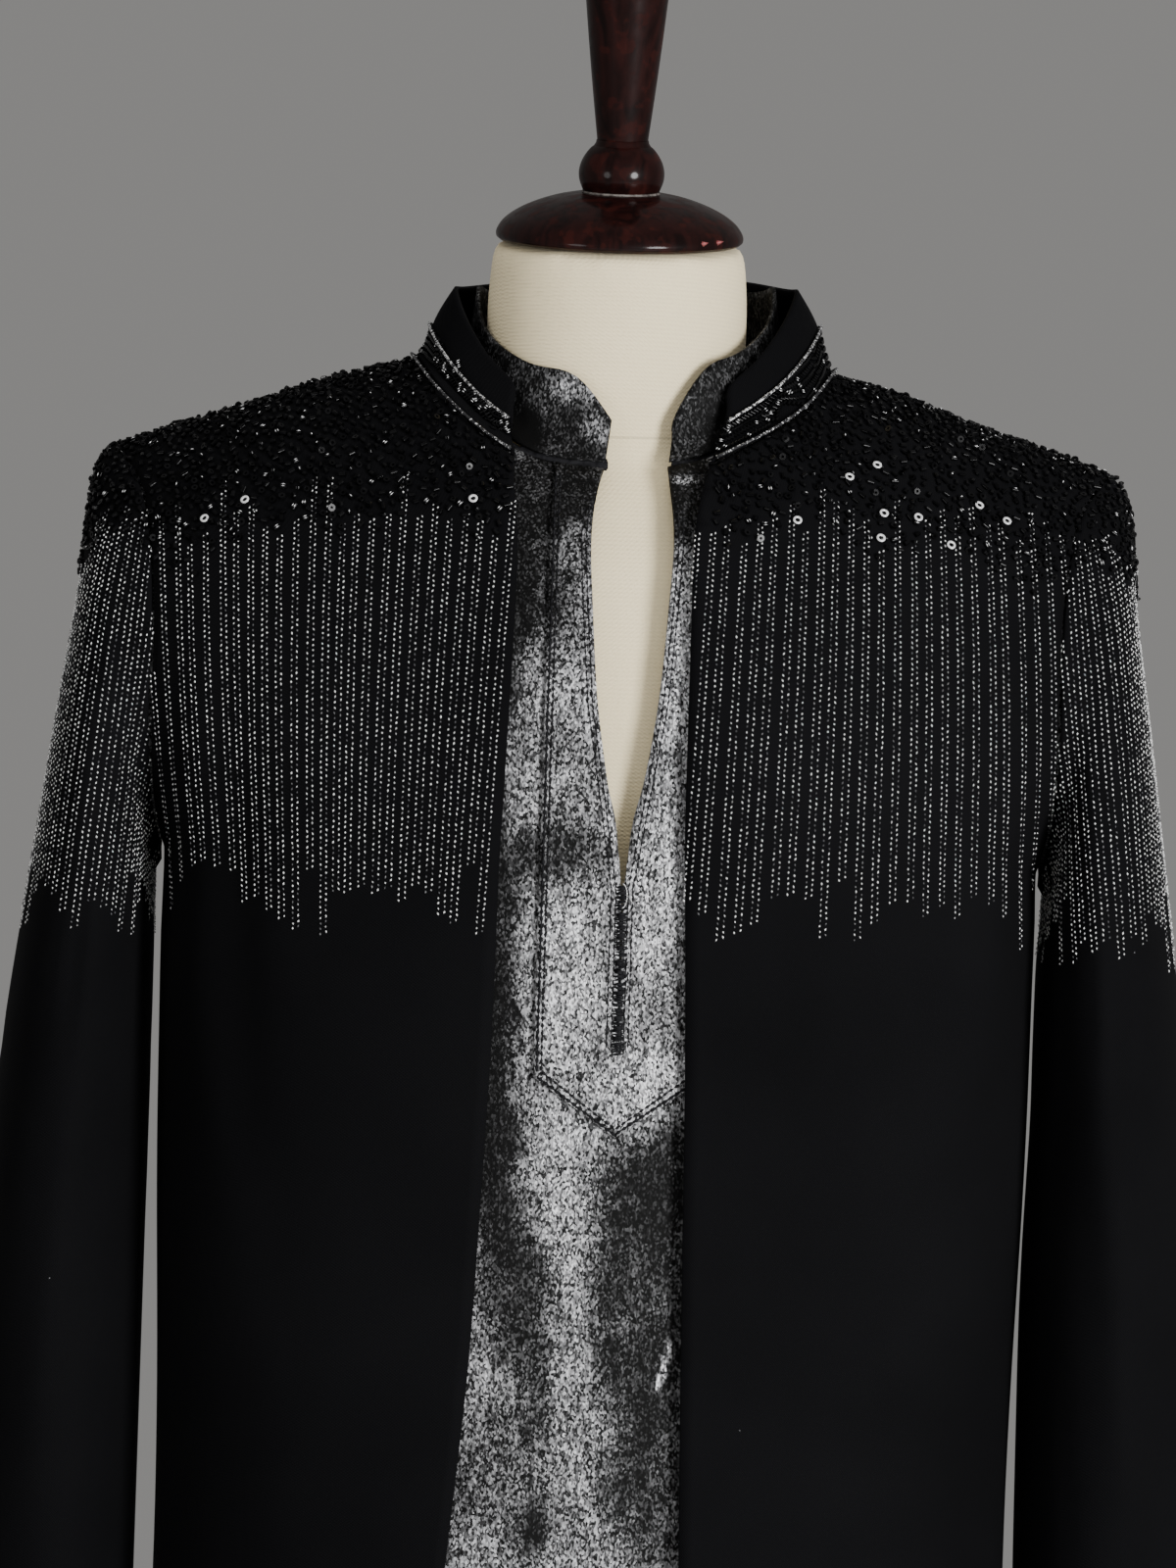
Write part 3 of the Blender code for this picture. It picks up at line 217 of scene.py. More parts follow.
tree, given, gives = effect("lint", [("Amount", "Float", 0.02)], [("Mask", "Float")])
cells = put(tree, "TexVoronoi", Vector=whereabouts(tree), Scale=90.0)
picked = put(tree, "SeparateColor", _0=cells.outputs["Color"]).outputs[0]
chosen = calc(tree, "LESS_THAN", picked, given["Amount"])
speck = calc(tree, "LESS_THAN", cells.outputs["Distance"], 0.032)
tree.links.new(calc(tree, "MULTIPLY", chosen, speck), gives["Mask"])
lint = tree
print("slow_tone nodes:", len(slow_tone.nodes), "lint nodes:", len(lint.nodes))

# %% Foil grain and soft spots
tree, given, gives = effect(
    "foil_grain",
    [("Level", "Float", 0.5), ("Size", "Float", 0.0005)],
    [("Tone", "Float"), ("Height", "Float")],
)
where = stretched(tree, (1.0, 1.0, 0.62))
fine = calc(tree, "DIVIDE", 1.0, given["Size"])
flakes = put(tree, "TexVoronoi", Vector=where, Scale=fine, Randomness=1.0)
picked = put(tree, "SeparateColor", _0=flakes.outputs["Color"]).outputs
upright = stretched(tree, (1.0, 1.0, 0.22))
streaks = put(tree, "TexNoise", Vector=upright, Scale=420.0, Detail=3.0, Roughness=0.6).outputs[0]
reach = calc(tree, "ADD", calc(tree, "MULTIPLY", given["Level"], 0.95), 0.40)
own = calc(tree, "MULTIPLY", calc(tree, "SUBTRACT", picked[0], 0.5), reach)
drawn = calc(tree, "MULTIPLY", calc(tree, "SUBTRACT", streaks, 0.5), calc(tree, "ADD", given["Level"], 0.22))
tree.links.new(calc(tree, "ADD", calc(tree, "ADD", given["Level"], own), drawn, clamp=True), gives["Tone"])
tree.links.new(calc(tree, "ADD", picked[2], streaks), gives["Height"])
foil_grain = tree

tree, given, gives = effect(
    "soft_spot",
    [("Place", "Vector", (0, 0, 0)), ("Reach", "Vector", (50, 0, 50)), ("Amount", "Float", 1.0)],
    [("Value", "Float")],
)
where = whereabouts(tree)
wander = put(tree, "TexNoise", Vector=where, Scale=60.0, Detail=3.0, Roughness=0.6).outputs[1]
drift = vector(tree, "SUBTRACT", wander, (0.5, 0.5, 0.5))[0]
away = vector(tree, "SUBTRACT", where, given["Place"])[0]
scaled = vector(tree, "MULTIPLY", away, given["Reach"])[0]
moved = vector(tree, "MULTIPLY_ADD", drift, (1.5, 0.0, 1.5), scaled)[0]
reach = vector(tree, "LENGTH", moved)["Value"]
faded = spread(tree, reach, 0.35, 1.5, 1.0, 0.0)
tree.links.new(calc(tree, "MULTIPLY", faded, given["Amount"]), gives["Value"])
soft_spot = tree
print("effects:", [group.name for group in bpy.data.node_groups])

# %% [markdown]
# ## Materials
# Each finish is one material with a Principled shader. What is the same all over is set on its socket, and
# what changes over the surface is linked by `drive`. A simple finish is `mottled`: its colour drifts
# between two tones, as every worn or handmade surface does.

# %% Material helpers
def finish(name, roughness=0.5, metallic=0.0, **constants):
    made = bpy.data.materials.new(name)
    made.use_nodes = True
    skin = made.node_tree.nodes["Principled BSDF"].inputs
    fill(made.node_tree, skin, {"Roughness": roughness, "Metallic": metallic, **constants})
    return made, made.node_tree, skin


def drive(tree, skin, **values):
    fill(tree, skin, values)


def group(tree, which, **values):
    return put(tree, "Group", {"node_tree": which}, **values).outputs


def bump(tree, height, depth, strength=1.0):
    return put(tree, "Bump", Strength=strength, Distance=depth, Height=height).outputs[0]


def mottled(name, scale, contrast, dark, pale, roughness, metallic=0.0, shine=None, **constants):
    """A colour that drifts between two tones. shine is the roughness at the dark and at the pale end."""
    made, tree, skin = finish(name, roughness, metallic, **constants)
    mask = group(tree, slow_tone, Scale=scale, Contrast=contrast)["Mask"]
    drive(tree, skin, Base_Color=blend_colour(tree, mask, dark, pale))
    if shine:
        drive(tree, skin, Roughness=spread(tree, mask, 0.0, 1.0, *shine))
    return made


print("material helpers ready")

# %% [markdown]
# ### Black suiting
# The jacket is a plain matt black suiting. Black cloth is never flat black: it has a dry sheen, a faint
# weave and a few specks of lint. The trousers use the same recipe in a duller, coarser cloth.

# %% Black suiting
def black_cloth(name, shade, threads, dust):
    made, tree, skin = finish(name, Sheen_Weight=0.007, Sheen_Roughness=0.45, Specular_IOR_Level=0.02)
    tone = group(tree, slow_tone, Scale=9.0, Contrast=1.6)["Mask"]
    weave = group(tree, thread_weave, Across=threads, Down=threads, Unevenness=0.6)
    dark = blend_colour(tree, tone, tuple(c * 0.8 for c in shade), tuple(c * 1.35 for c in shade))
    specks = group(tree, lint, Amount=dust)["Mask"]
    drive(
        tree,
        skin,
        Base_Color=blend_colour(tree, specks, dark, (0.12, 0.12, 0.125)),
        Roughness=spread(tree, weave["Thread"], 0.0, 1.0, 0.72, 0.90),
        Normal=bump(tree, weave["Height"], 0.00012),
    )
    return made


suiting = black_cloth("jacket_suiting", (0.0040, 0.0040, 0.0045), 5200.0, 0.018)
trousering = black_cloth("trouser_cloth_plain", (0.0052, 0.0052, 0.0057), 4200.0, 0.010)
print("black cloths ready")

# %% [markdown]
# ### Metallic kurta cloth
# The kurta is black cloth printed with silver foil. The foil is a grain of tiny flakes in upright streaks,
# full in some patches and rubbed away in others. Soft spots at listed places set its level, with a cloudy
# noise
# between them: some are patches of whole and of worn foil, many are painted shade of the folds and of the
# jacket's edge, and a few are painted highlights on a wrinkle. That level shifts the tone of each flake, and
# foil is metal, so the tone drives Metallic too. The collar has its own, darker level, and its spots are
# painted highlights and painted shade.

# %% Where the foil is whole and where it is worn, with painted shade and painted highlights
FRONT_FOIL_AND_SHADE_SPOTS = (  # x, z, half width, half height, lighter or darker
    (-0.0260, 1.4120, 0.034, 0.038, -0.36),
    (-0.0300, 1.3620, 0.022, 0.014, -0.24),
    # painted shadow of the jacket's edge on the kurta
    (-0.0460, 1.3600, 0.011, 0.045, -0.34),
    (-0.0280, 1.3480, 0.017, 0.014, -0.12),
    (0.0300, 1.4070, 0.021, 0.019, -0.50),
    (0.0306, 1.4128, 0.0085, 0.0026, 0.50),
    (0.0300, 1.3300, 0.014, 0.050, 0.10),
    (-0.0200, 1.2510, 0.026, 0.014, -0.22),
    (-0.0140, 1.2180, 0.014, 0.010, 0.13),
    (-0.0140, 1.1800, 0.016, 0.022, 0.13),
    # painted shadow of the jacket's edge, as in the row below
    (-0.0460, 1.1900, 0.013, 0.080, -0.38),
    (-0.0400, 1.1280, 0.010, 0.034, -0.26),
    (0.0270, 1.2350, 0.013, 0.035, 0.13),
    (0.0260, 1.1550, 0.014, 0.014, 0.18),
    (-0.0120, 1.1100, 0.013, 0.032, 0.13),
    (0.0300, 1.1100, 0.020, 0.022, -0.34),
    (0.0300, 1.0620, 0.021, 0.046, -0.30),
    (0.0300, 0.9850, 0.019, 0.044, -0.30),
    (0.0080, 1.0650, 0.009, 0.050, -0.16),
    (-0.0320, 1.0700, 0.015, 0.032, -0.32),
    (-0.0240, 1.0350, 0.012, 0.014, -0.28),
    (-0.0350, 0.9850, 0.022, 0.032, -0.16),
    (-0.0210, 1.0100, 0.007, 0.012, -0.20),
    (-0.0200, 0.9600, 0.006, 0.016, -0.20),
    # these three: a painted highlight along the wrinkle pressed here
    (0.0357, 1.0405, 0.0013, 0.0050, 0.55),
    (0.0335, 1.0335, 0.0014, 0.0055, 0.60),
    (0.0312, 1.0265, 0.0013, 0.0045, 0.55),
    (-0.0320, 0.8600, 0.014, 0.060, -0.26),
    (0.0220, 0.8300, 0.016, 0.070, -0.26),
    (-0.0100, 0.7000, 0.022, 0.050, -0.18),
)
COLLAR_SHADE_AND_HIGHLIGHT_SPOTS = (
    # bright spots are painted highlights on the collar, dark ones painted shade
    (-0.0162, 1.4520, 0.014, 0.007, 0.30),
    (-0.0085, 1.4350, 0.007, 0.008, 0.26),
    (-0.0398, 1.4305, 0.0080, 0.0100, -0.34),
    (0.0480, 1.4420, 0.016, 0.020, -0.06),
)
print("foil spots:", len(FRONT_FOIL_AND_SHADE_SPOTS) + len(COLLAR_SHADE_AND_HIGHLIGHT_SPOTS))

# %% Metallic cloth
FLAKE = 0.00072  # how wide a flake of foil is


def foil_cloth(name, level, least, spots):
    """Level is the tone between the spots, and least is how little a spot can leave. The spots are whole and
    worn foil, painted shade and painted highlights.
    """
    made, tree, skin = finish(name, Specular_IOR_Level=0.2)
    patch = {"Scale": 46.0, "Detail": 5.0, "Roughness": 0.62, "Distortion": 0.4}
    cloud = put(tree, "TexNoise", Vector=stretched(tree, (1.0, 1.0, 0.6)), **patch).outputs[0]
    tone = calc(tree, "ADD", level, calc(tree, "MULTIPLY", calc(tree, "SUBTRACT", cloud, 0.5), 0.55))
    for x, z, wide, high, amount in spots:
        spot = group(tree, soft_spot, Place=(x, 0.0, z), Reach=(1 / wide, 0.0, 1 / high), Amount=amount)
        tone = calc(tree, "ADD", tone, spot["Value"])
    tone = calc(tree, "MAXIMUM", tone, least)
    flakes = group(tree, foil_grain, Level=tone, Size=FLAKE)
    bright = calc(tree, "MULTIPLY", calc(tree, "POWER", flakes["Tone"], 2.2), 0.95)
    cool = calc(tree, "MULTIPLY", bright, 1.03)
    drive(
        tree,
        skin,
        Base_Color=put(tree, "CombineColor", _0=bright, _1=bright, _2=cool).outputs[0],
        Metallic=calc(tree, "MULTIPLY", flakes["Tone"], 0.15),
        Roughness=spread(tree, flakes["Tone"], 0.0, 1.0, 0.75, 0.42),
        Normal=bump(tree, flakes["Height"], 0.0002, 0.5),
    )
    return made


lame = foil_cloth("kurta_foil_cloth", 0.40, 0.03, FRONT_FOIL_AND_SHADE_SPOTS)
lame_collar = foil_cloth("kurta_collar_foil", 0.075, -0.22, COLLAR_SHADE_AND_HIGHLIGHT_SPOTS)
print("foil cloth ready")

# %% [markdown]
# ### Thread, beads and rings
# The chain stitches are a silver-white thread, and each stitch gets its own painted brightness, from dark
# grey to white, a painted glint for its turn to the light. The cords are plaited from black and silver. The
# beads are glossy black glass tubes, and short white bars on some of them are painted highlights. The rings
# are flat and bright.

# %% Silver thread and cords
silver_thread, tree, skin = finish("silver_thread", 0.38, 0.25)
# each stitch's colour, dark grey to white at random, is a painted glint
island = put(tree, "NewGeometry").outputs["Random Per Island"]
lit = spread(tree, island, 0.12, 0.66)
drive(
    tree,
    skin,
    Base_Color=blend_colour(tree, lit, (0.10, 0.10, 0.105), (1.0, 1.0, 0.99)),
    Roughness=spread(tree, island, 0.0, 1.0, 0.5, 0.28),
)


def glitter_cord(name, share):
    """A cord plaited from black and silver strands: short silver flakes on black, the share of them given."""
    made, tree, skin = finish(name, 0.4)
    flakes = put(tree, "TexVoronoi", Vector=whereabouts(tree), Scale=1500.0)
    pick = put(tree, "SeparateColor", _0=flakes.outputs["Color"]).outputs
    lit = calc(tree, "GREATER_THAN", pick[0], 1.0 - share)
    tone = spread(tree, pick[1], 0.0, 1.0, 0.30, 1.0)
    silver = put(tree, "CombineColor", _0=tone, _1=tone, _2=tone).outputs[0]
    drive(
        tree,
        skin,
        Base_Color=blend_colour(tree, lit, (0.02, 0.02, 0.022), silver),
        Metallic=calc(tree, "MULTIPLY", lit, 0.4),
        Normal=bump(tree, flakes.outputs["Distance"], 0.0004, 0.7),
    )
    return made


bright_cord = glitter_cord("twisted_cord_bright", 0.46)
faint_cord = glitter_cord("twisted_cord_faint", 0.16)
print("thread and cords ready")

# %% Beads, rings and black thread
bead_glass, tree, skin = finish("black_bead_glass", 0.12, 0.0, Specular_IOR_Level=0.13)
cells = put(tree, "TexVoronoi", Vector=whereabouts(tree), Scale=210.0)
pick = put(tree, "SeparateColor", _0=cells.outputs["Color"]).outputs[0]
drive(
    tree,
    skin,
    Base_Color=blend_colour(tree, pick, (0.0012, 0.0012, 0.0014), (0.0040, 0.0040, 0.0044)),
    Roughness=spread(tree, pick, 0.0, 1.0, 0.08, 0.30),
)

# painted highlights: the bright bars laid on some of the beads
bead_highlight_glass = mottled("painted_bead_highlight", 300.0, 2.0, (0.55, 0.55, 0.56), (0.96, 0.96, 0.96), 0.15, 0.2)
ring_foil = mottled("ring_foil", 240.0, 1.5, (0.80, 0.80, 0.81), (0.97, 0.97, 0.97), 0.22, 0.3, (0.40, 0.20))
THREAD_TONES = (0.004, 0.004, 0.005), (0.020, 0.020, 0.022)
black_thread = mottled("black_thread", 500.0, 2.0, *THREAD_TONES, 0.8, Specular_IOR_Level=0.1)
print("beads, rings and thread ready")

# %% [markdown]
# ### Dress form: cover, wood, metal
# The torso has a cream cover with fine level ribs, and a thin dark seam joins the neck to it. The turned
# pieces are red-brown wood under a thick gloss, worn red at the rims. The pole is black enamel.

# %% Form cover
NECK_SEAM = 1.4425  # its height over the body's middle; it drops towards the front
SEAM_DROP = -0.16
form_cover, tree, skin = finish("form_cover_cream", 0.85, Sheen_Weight=0.10, Specular_IOR_Level=0.15)
split = put(tree, "SeparateXYZ", _0=put(tree, "TexCoord").outputs["Object"]).outputs
weave = group(tree, thread_weave, Across=2600.0, Down=4200.0, Unevenness=0.9)
ribs = calc(tree, "SINE", calc(tree, "MULTIPLY", split[2], 3300.0))
stain = group(tree, slow_tone, Scale=14.0, Contrast=1.8)["Mask"]
threads = put(tree, "TexNoise", Vector=stretched(tree, (1.0, 1.0, 2.2)), Scale=900.0, Detail=2.0).outputs[0]
fine = calc(tree, "ADD", calc(tree, "SUBTRACT", threads, 0.3), calc(tree, "MULTIPLY", ribs, 0.16))
tone = calc(tree, "ADD", calc(tree, "MULTIPLY", stain, 0.6), fine, clamp=True)
cream = blend_colour(tree, tone, (0.825, 0.702, 0.446), (0.965, 0.828, 0.546))
level = calc(tree, "ADD", split[2], calc(tree, "MULTIPLY", split[1], SEAM_DROP))
seam = calc(tree, "LESS_THAN", calc(tree, "ABSOLUTE", calc(tree, "SUBTRACT", level, NECK_SEAM)), 0.0005)
height = calc(tree, "ADD", calc(tree, "MULTIPLY", ribs, 0.35), weave["Height"])
height = calc(tree, "SUBTRACT", height, calc(tree, "MULTIPLY", seam, 2.0))
drive(
    tree,
    skin,
    Base_Color=blend_colour(tree, calc(tree, "MULTIPLY", seam, 0.30), cream, (0.30, 0.27, 0.20)),
    Normal=bump(tree, height, 0.00012),
)
print("form cover ready")

# %% Varnished wood
GLOSS = {"Coat_Weight": 0.26, "Coat_Roughness": 0.13, "Specular_IOR_Level": 0.05}
varnished_wood, tree, skin = finish("varnished_wood", 0.5, **GLOSS)
along = stretched(tree, (60.0, 60.0, 7.0))
grain = put(tree, "TexNoise", Vector=along, Scale=2.2, Detail=5.0, Distortion=1.2).outputs[0]
wood = blend_colour(tree, spread(tree, grain, 0.28, 0.72), (0.0048, 0.0018, 0.0017), (0.0165, 0.0042, 0.0036))
rubbed = group(tree, slow_tone, Scale=130.0, Contrast=3.0)["Mask"]
tip = spread(tree, put(tree, "NewGeometry").outputs["Pointiness"], 0.52, 0.60)
worn = calc(tree, "MULTIPLY", spread(tree, rubbed, 0.66, 0.84), calc(tree, "ADD", tip, 0.06, clamp=True))
drive(
    tree,
    skin,
    Base_Color=blend_colour(tree, worn, wood, (0.16, 0.022, 0.012)),
    Roughness=spread(tree, rubbed, 0.3, 0.9, 0.42, 0.60),
    Normal=bump(tree, grain, 0.00012, 0.3),
)
print("wood ready")

# %% Enamel, glue, chips and floor
ENAMEL_TONES = (0.012, 0.012, 0.013), (0.035, 0.035, 0.037)
black_enamel = mottled("black_enamel", 60.0, 2.5, *ENAMEL_TONES, 0.3, 0.0, (0.22, 0.5), Coat_Weight=0.3)
dry_glue = mottled("dry_glue", 400.0, 3.0, (0.03, 0.022, 0.02), (0.20, 0.18, 0.165), 0.7)
chipped = mottled("chipped_varnish", 500.0, 2.0, (0.12, 0.015, 0.015), (0.36, 0.10, 0.10), 0.6)
floor_mesh.materials.append(mottled("pale_floor", 1.5, 0.5, (0.60, 0.60, 0.60), (0.66, 0.66, 0.655), 0.7))
print("materials:", len(bpy.data.materials))


# %% [markdown]
# ## From a faceted solid to a shell
# Each cloth solid is a wall between two skins. Its copy is welded, its triangles are joined into the quads
# they came from, its sharp rims are creased, and two rounds of subdivision round it off. The copy keeps the
# solid's place, so nothing has to be fitted. `dress` gives a piece its finish and its place in the part,
# and `garment` does all of this for a piece of cloth and presses its creases into it.

# %% Shell helper
SAME_POINT = 0.00001  # points this near are one


def shell(node, name, level=2, rim=40.0):
    """A rounded copy of a node's solid. Edges sharper than rim, in degrees, stay crisp."""
    work = bmesh.new()
    work.from_mesh(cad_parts[node].data)
    bmesh.ops.remove_doubles(work, verts=work.verts, dist=SAME_POINT)
    limits = {"angle_face_threshold": math.radians(60), "angle_shape_threshold": math.radians(89)}
    bmesh.ops.join_triangles(work, faces=work.faces[:], **limits)
    sharp = work.edges.layers.float.new("crease_edge")
    for edge in work.edges:
        if len(edge.link_faces) == 2 and edge.calc_face_angle() > math.radians(rim):
            edge[sharp] = 1.0
    mesh = bpy.data.meshes.new(name)
    work.to_mesh(mesh)
    work.free()
    aims = [vertex.co.copy() for vertex in mesh.vertices]
    piece = placed(name, mesh)
    smoother = piece.modifiers.new("round_off", "SUBSURF")
    smoother.levels = smoother.render_levels = level
    for _ in range(2 if level else 0):
        pull_back(piece, aims)
    settled(piece)
    piece.data.shade_smooth()
    piece.data.set_sharp_from_angle(angle=math.radians(50))
    return piece


def pull_back(piece, aims):
    """Subdivision draws a shape in, so its cage is moved out until it passes through the solid's points."""
    rounded = piece.evaluated_get(bpy.context.evaluated_depsgraph_get()).data
    steps = [aim - rounded.vertices[k].co for k, aim in enumerate(aims)]
    for vertex, step in zip(piece.data.vertices, steps):
        vertex.co += step * 0.9
    piece.data.update()
    piece.update_tag()


def settled(piece):
    """Applies the piece's modifiers."""
    graph = bpy.context.evaluated_depsgraph_get()
    mesh = bpy.data.meshes.new_from_object(piece.evaluated_get(graph))
    piece.modifiers.clear()
    piece.data = mesh


def dress(piece, material, slot, *nodes):
    piece.data.materials.clear()
    piece.data.materials.append(material)
    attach(piece, "root")
    if nodes:
        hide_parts(*nodes)
    return piece


print("shell helper ready")

# %% [markdown]
# ## Creases
# Cloth that hangs shows soft troughs and ridges where it is pulled, folded or pushed. Each crease here is a
# line seen from the front or the back, with a width and a depth, and it moves both skins of the wall the
# same way: out from the body's axis or in towards it. They are listed one by one and kept small.

# %% Crease helper
def press(piece, creases, axis=(0.0, 0.0)):
    """Rows: front or back (-1, 1, or 0 for both), start x and z, end x and z, width, depth."""
    for vertex in piece.data.vertices:
        x, y, z = vertex.co
        out = Vector((x - axis[0], y - axis[1], 0.0))
        if out.length < 0.001:
            continue
        move = 0.0
        for face, x0, z0, x1, z1, width, depth in creases:
            if face and (y - axis[1]) * face < 0:
                continue
            along = Vector((x1 - x0, z1 - z0))
            t = ((x - x0) * along.x + (z - z0) * along.y) / along.length_squared
            near = min(max(t, 0.0), 1.0)
            away = math.hypot(x - x0 - near * along.x, z - z0 - near * along.y)
            if away < 3 * width:
                ends = min(1.0, 0.35 + 2.6 * near * (1 - near))
                move += depth * ends * math.exp(-((away / width) ** 2))
        vertex.co += out.normalized() * move


print("crease helper ready")

# %% Garment helper
pieces = {}


def garment(node, cloth, slot, creases=(), axis=(0.0, 0.0)):
    """A node's shell in its cloth, with its creases pressed in."""
    piece = dress(shell(node, node + "_cloth"), cloth, slot, node)
    if creases:
        press(piece, creases, axis)
    pieces[node] = piece
    print(node, "faces", len(piece.data.polygons))


print("garment helper ready")

# %% [markdown]
# ## The jacket
# Two fronts, one back, two sleeves and a band collar. The fronts hang open and almost flat; the drag comes
# from the armholes, where a soft fold runs down from each armpit.

# %% Jacket shells
JACKET_CREASES = (  # rows as press takes them: the armpits, the waist, the chest, then the back
    (-1, 0.176, 1.335, 0.168, 1.170, 0.0090, 0.0030),
    (-1, 0.160, 1.320, 0.150, 1.150, 0.0110, -0.0022),
    (-1, 0.186, 1.225, 0.140, 1.120, 0.0120, 0.0020),
    (-1, 0.150, 1.080, 0.095, 0.860, 0.0180, 0.0022),
    (-1, 0.085, 1.300, 0.075, 1.050, 0.0200, -0.0014),
    (-1, -0.178, 1.330, -0.170, 1.180, 0.0090, 0.0028),
    (-1, -0.162, 1.310, -0.150, 1.120, 0.0110, -0.0022),
    (-1, -0.186, 1.215, -0.150, 1.090, 0.0120, 0.0022),
    (-1, -0.140, 1.060, -0.105, 0.820, 0.0180, 0.0020),
    (-1, -0.090, 1.280, -0.085, 1.000, 0.0200, -0.0012),
    (1, 0.172, 1.350, 0.160, 1.150, 0.0100, 0.0034),
    (1, 0.140, 1.300, 0.120, 1.080, 0.0140, -0.0024),
    (1, -0.174, 1.345, -0.158, 1.160, 0.0100, 0.0030),
    (1, -0.136, 1.310, -0.110, 1.060, 0.0140, -0.0022),
    (1, 0.020, 1.080, 0.035, 0.760, 0.0180, 0.0026),
    (1, -0.060, 1.120, -0.080, 0.720, 0.0200, 0.0022),
    (1, -0.070, 1.425, 0.070, 1.425, 0.0120, -0.0016),
)
JACKET_PANELS = (  # node, cut width and length, cut area, what it hangs from
    ("jacket_front_left", 0.290, 1.000, 0.236, ("kurta_front", "kurta_sleeve_left")),
    ("jacket_front_right", 0.280, 1.000, 0.222, ("kurta_front", "kurta_sleeve_right")),
    ("jacket_back", 0.620, 1.020, 0.550, ("kurta_back",)),
)
for node, width, length, area, carried in JACKET_PANELS:
    garment(node, suiting, "jacket_cloth", JACKET_CREASES)

# %% [markdown]
# A sleeve is a tube that hangs from the armhole. Its creases move out from its own axis: lengthwise ones in
# front, and a few short slanting ones at the bend of the elbow. The wearer's right sleeve is the other one
# turned over, a little higher and softer, so the two don't match.

# %% Sleeve shells
SLEEVE_AXIS_X, SLEEVE_AXIS_Y = 0.236, -0.006
SLEEVE_CREASES = (
    (-1, 0.218, 1.190, 0.240, 0.960, 0.0080, 0.0026),
    (-1, 0.232, 1.280, 0.226, 1.120, 0.0060, -0.0016),
    (-1, 0.2075, 1.036, 0.2165, 0.930, 0.0012, -0.0007),
    (-1, 0.214, 1.180, 0.262, 1.130, 0.0080, -0.0022),
    (-1, 0.212, 1.120, 0.262, 1.085, 0.0090, 0.0018),
    (-1, 0.214, 1.060, 0.264, 1.045, 0.0080, -0.0020),
    (1, 0.236, 1.300, 0.244, 0.980, 0.0080, 0.0022),
    (1, 0.212, 1.140, 0.264, 1.100, 0.0090, -0.0022),
    (1, 0.212, 1.080, 0.262, 1.030, 0.0090, 0.0018),
)


def other_side(creases, shift, share):
    return [(f, -a, b + shift, -c, d + shift, w, e * share) for f, a, b, c, d, w, e in creases]


SIDES = ((1, "left"), (-1, "right"))
for side, word in SIDES:
    creases = SLEEVE_CREASES if side == 1 else other_side(SLEEVE_CREASES, 0.018, 0.8)
    carried, axis = ("jacket_front_" + word, "jacket_back"), (side * SLEEVE_AXIS_X, SLEEVE_AXIS_Y)
    node = "jacket_sleeve_" + word
    garment(node, suiting, "jacket_cloth", creases, axis)

# %% [markdown]
# The collar is one band round the neck. Its two silver cords are drawn in a little from their solids, so
# that they look like thin plaited cord.

# %% Jacket collar and its cords
CORD_DRAWN_IN = 0.00045
garment("jacket_collar", suiting, "jacket_cloth")
for node, cord in (("collar_cord_upper", bright_cord), ("collar_cord_lower", faint_cord)):
    piece = dress(shell(node, node + "_twist", 1, 70.0), cord, "silver_cord", node)
    normals = [vertex.normal.copy() for vertex in piece.data.vertices]
    for vertex, normal in zip(piece.data.vertices, normals):
        vertex.co -= normal * CORD_DRAWN_IN
print("collar and cords ready")

# %% [markdown]
# ## The kurta
# One front with a slit, a placket round the slit, one back, two sleeves and a soft collar. Thin metallic
# cloth takes small slanting wrinkles that catch the light.

# %% Kurta shells
KURTA_CREASES = (
    (-1, -0.042, 1.330, -0.030, 1.300, 0.0050, 0.0010),
    (-1, 0.0367, 1.0438, 0.0297, 1.0223, 0.0022, 0.0014),
    (-1, -0.050, 1.100, -0.015, 1.060, 0.0060, 0.0011),
    (-1, -0.050, 1.010, 0.010, 0.985, 0.0070, -0.0012),
    (-1, 0.000, 1.110, 0.036, 1.085, 0.0050, -0.0010),
    (-1, -0.020, 1.040, -0.030, 0.820, 0.0100, 0.0016),
    (-1, 0.022, 1.000, 0.030, 0.700, 0.0100, -0.0014),
    (-1, -0.060, 0.900, -0.020, 0.860, 0.0080, 0.0012),
    (1, 0.050, 1.300, 0.010, 1.000, 0.0120, 0.0014),
    (1, -0.060, 1.250, -0.040, 0.900, 0.0120, -0.0014),
)
KURTA_PANELS = (  # node, cut width and length, cut area, how it is held, what carries it
    ("kurta_front", 0.600, 0.960, 0.490, "hung", ("form_torso",)),
    ("kurta_back", 0.600, 0.970, 0.490, "hung", ("form_torso",)),
    ("kurta_placket", 0.072, 0.280, 0.0160, "laid", ("kurta_front",)),
    ("kurta_sleeve_left", 0.360, 0.560, 0.146, "hung", ("kurta_front", "kurta_back")),
    ("kurta_sleeve_right", 0.360, 0.560, 0.146, "hung", ("kurta_front", "kurta_back")),
    ("kurta_collar", 0.420, 0.045, 0.0165, "stretched", ("kurta_front", "kurta_back")),
)
for node, width, length, area, held, carried in KURTA_PANELS:
    cloth = lame_collar if node == "kurta_collar" else lame
    creases = KURTA_CREASES if held != "stretched" and "sleeve" not in node else ()
    garment(node, cloth, "kurta_lame", creases)

# %% [markdown]
# The collar is sewn to the neckline over a thin roll of seam, which closes the line between them. The roll is
# black: it is the painted shadow in the seam. It follows the collar's foot round the neck, a section every
# two degrees, and thins out at both ends.

# %% Where the kurta's collar meets the neckline
NECK_Y = -0.008  # the neck's axis
SEAM_TURN = math.pi / 90


def turn_of(spot):
    return math.atan2(spot.x, -(spot.y - NECK_Y)) / SEAM_TURN


seam = {}
for vertex in pieces["kurta_collar"].data.vertices:
    seam.setdefault(round(turn_of(vertex.co)), []).append(vertex.co.copy())


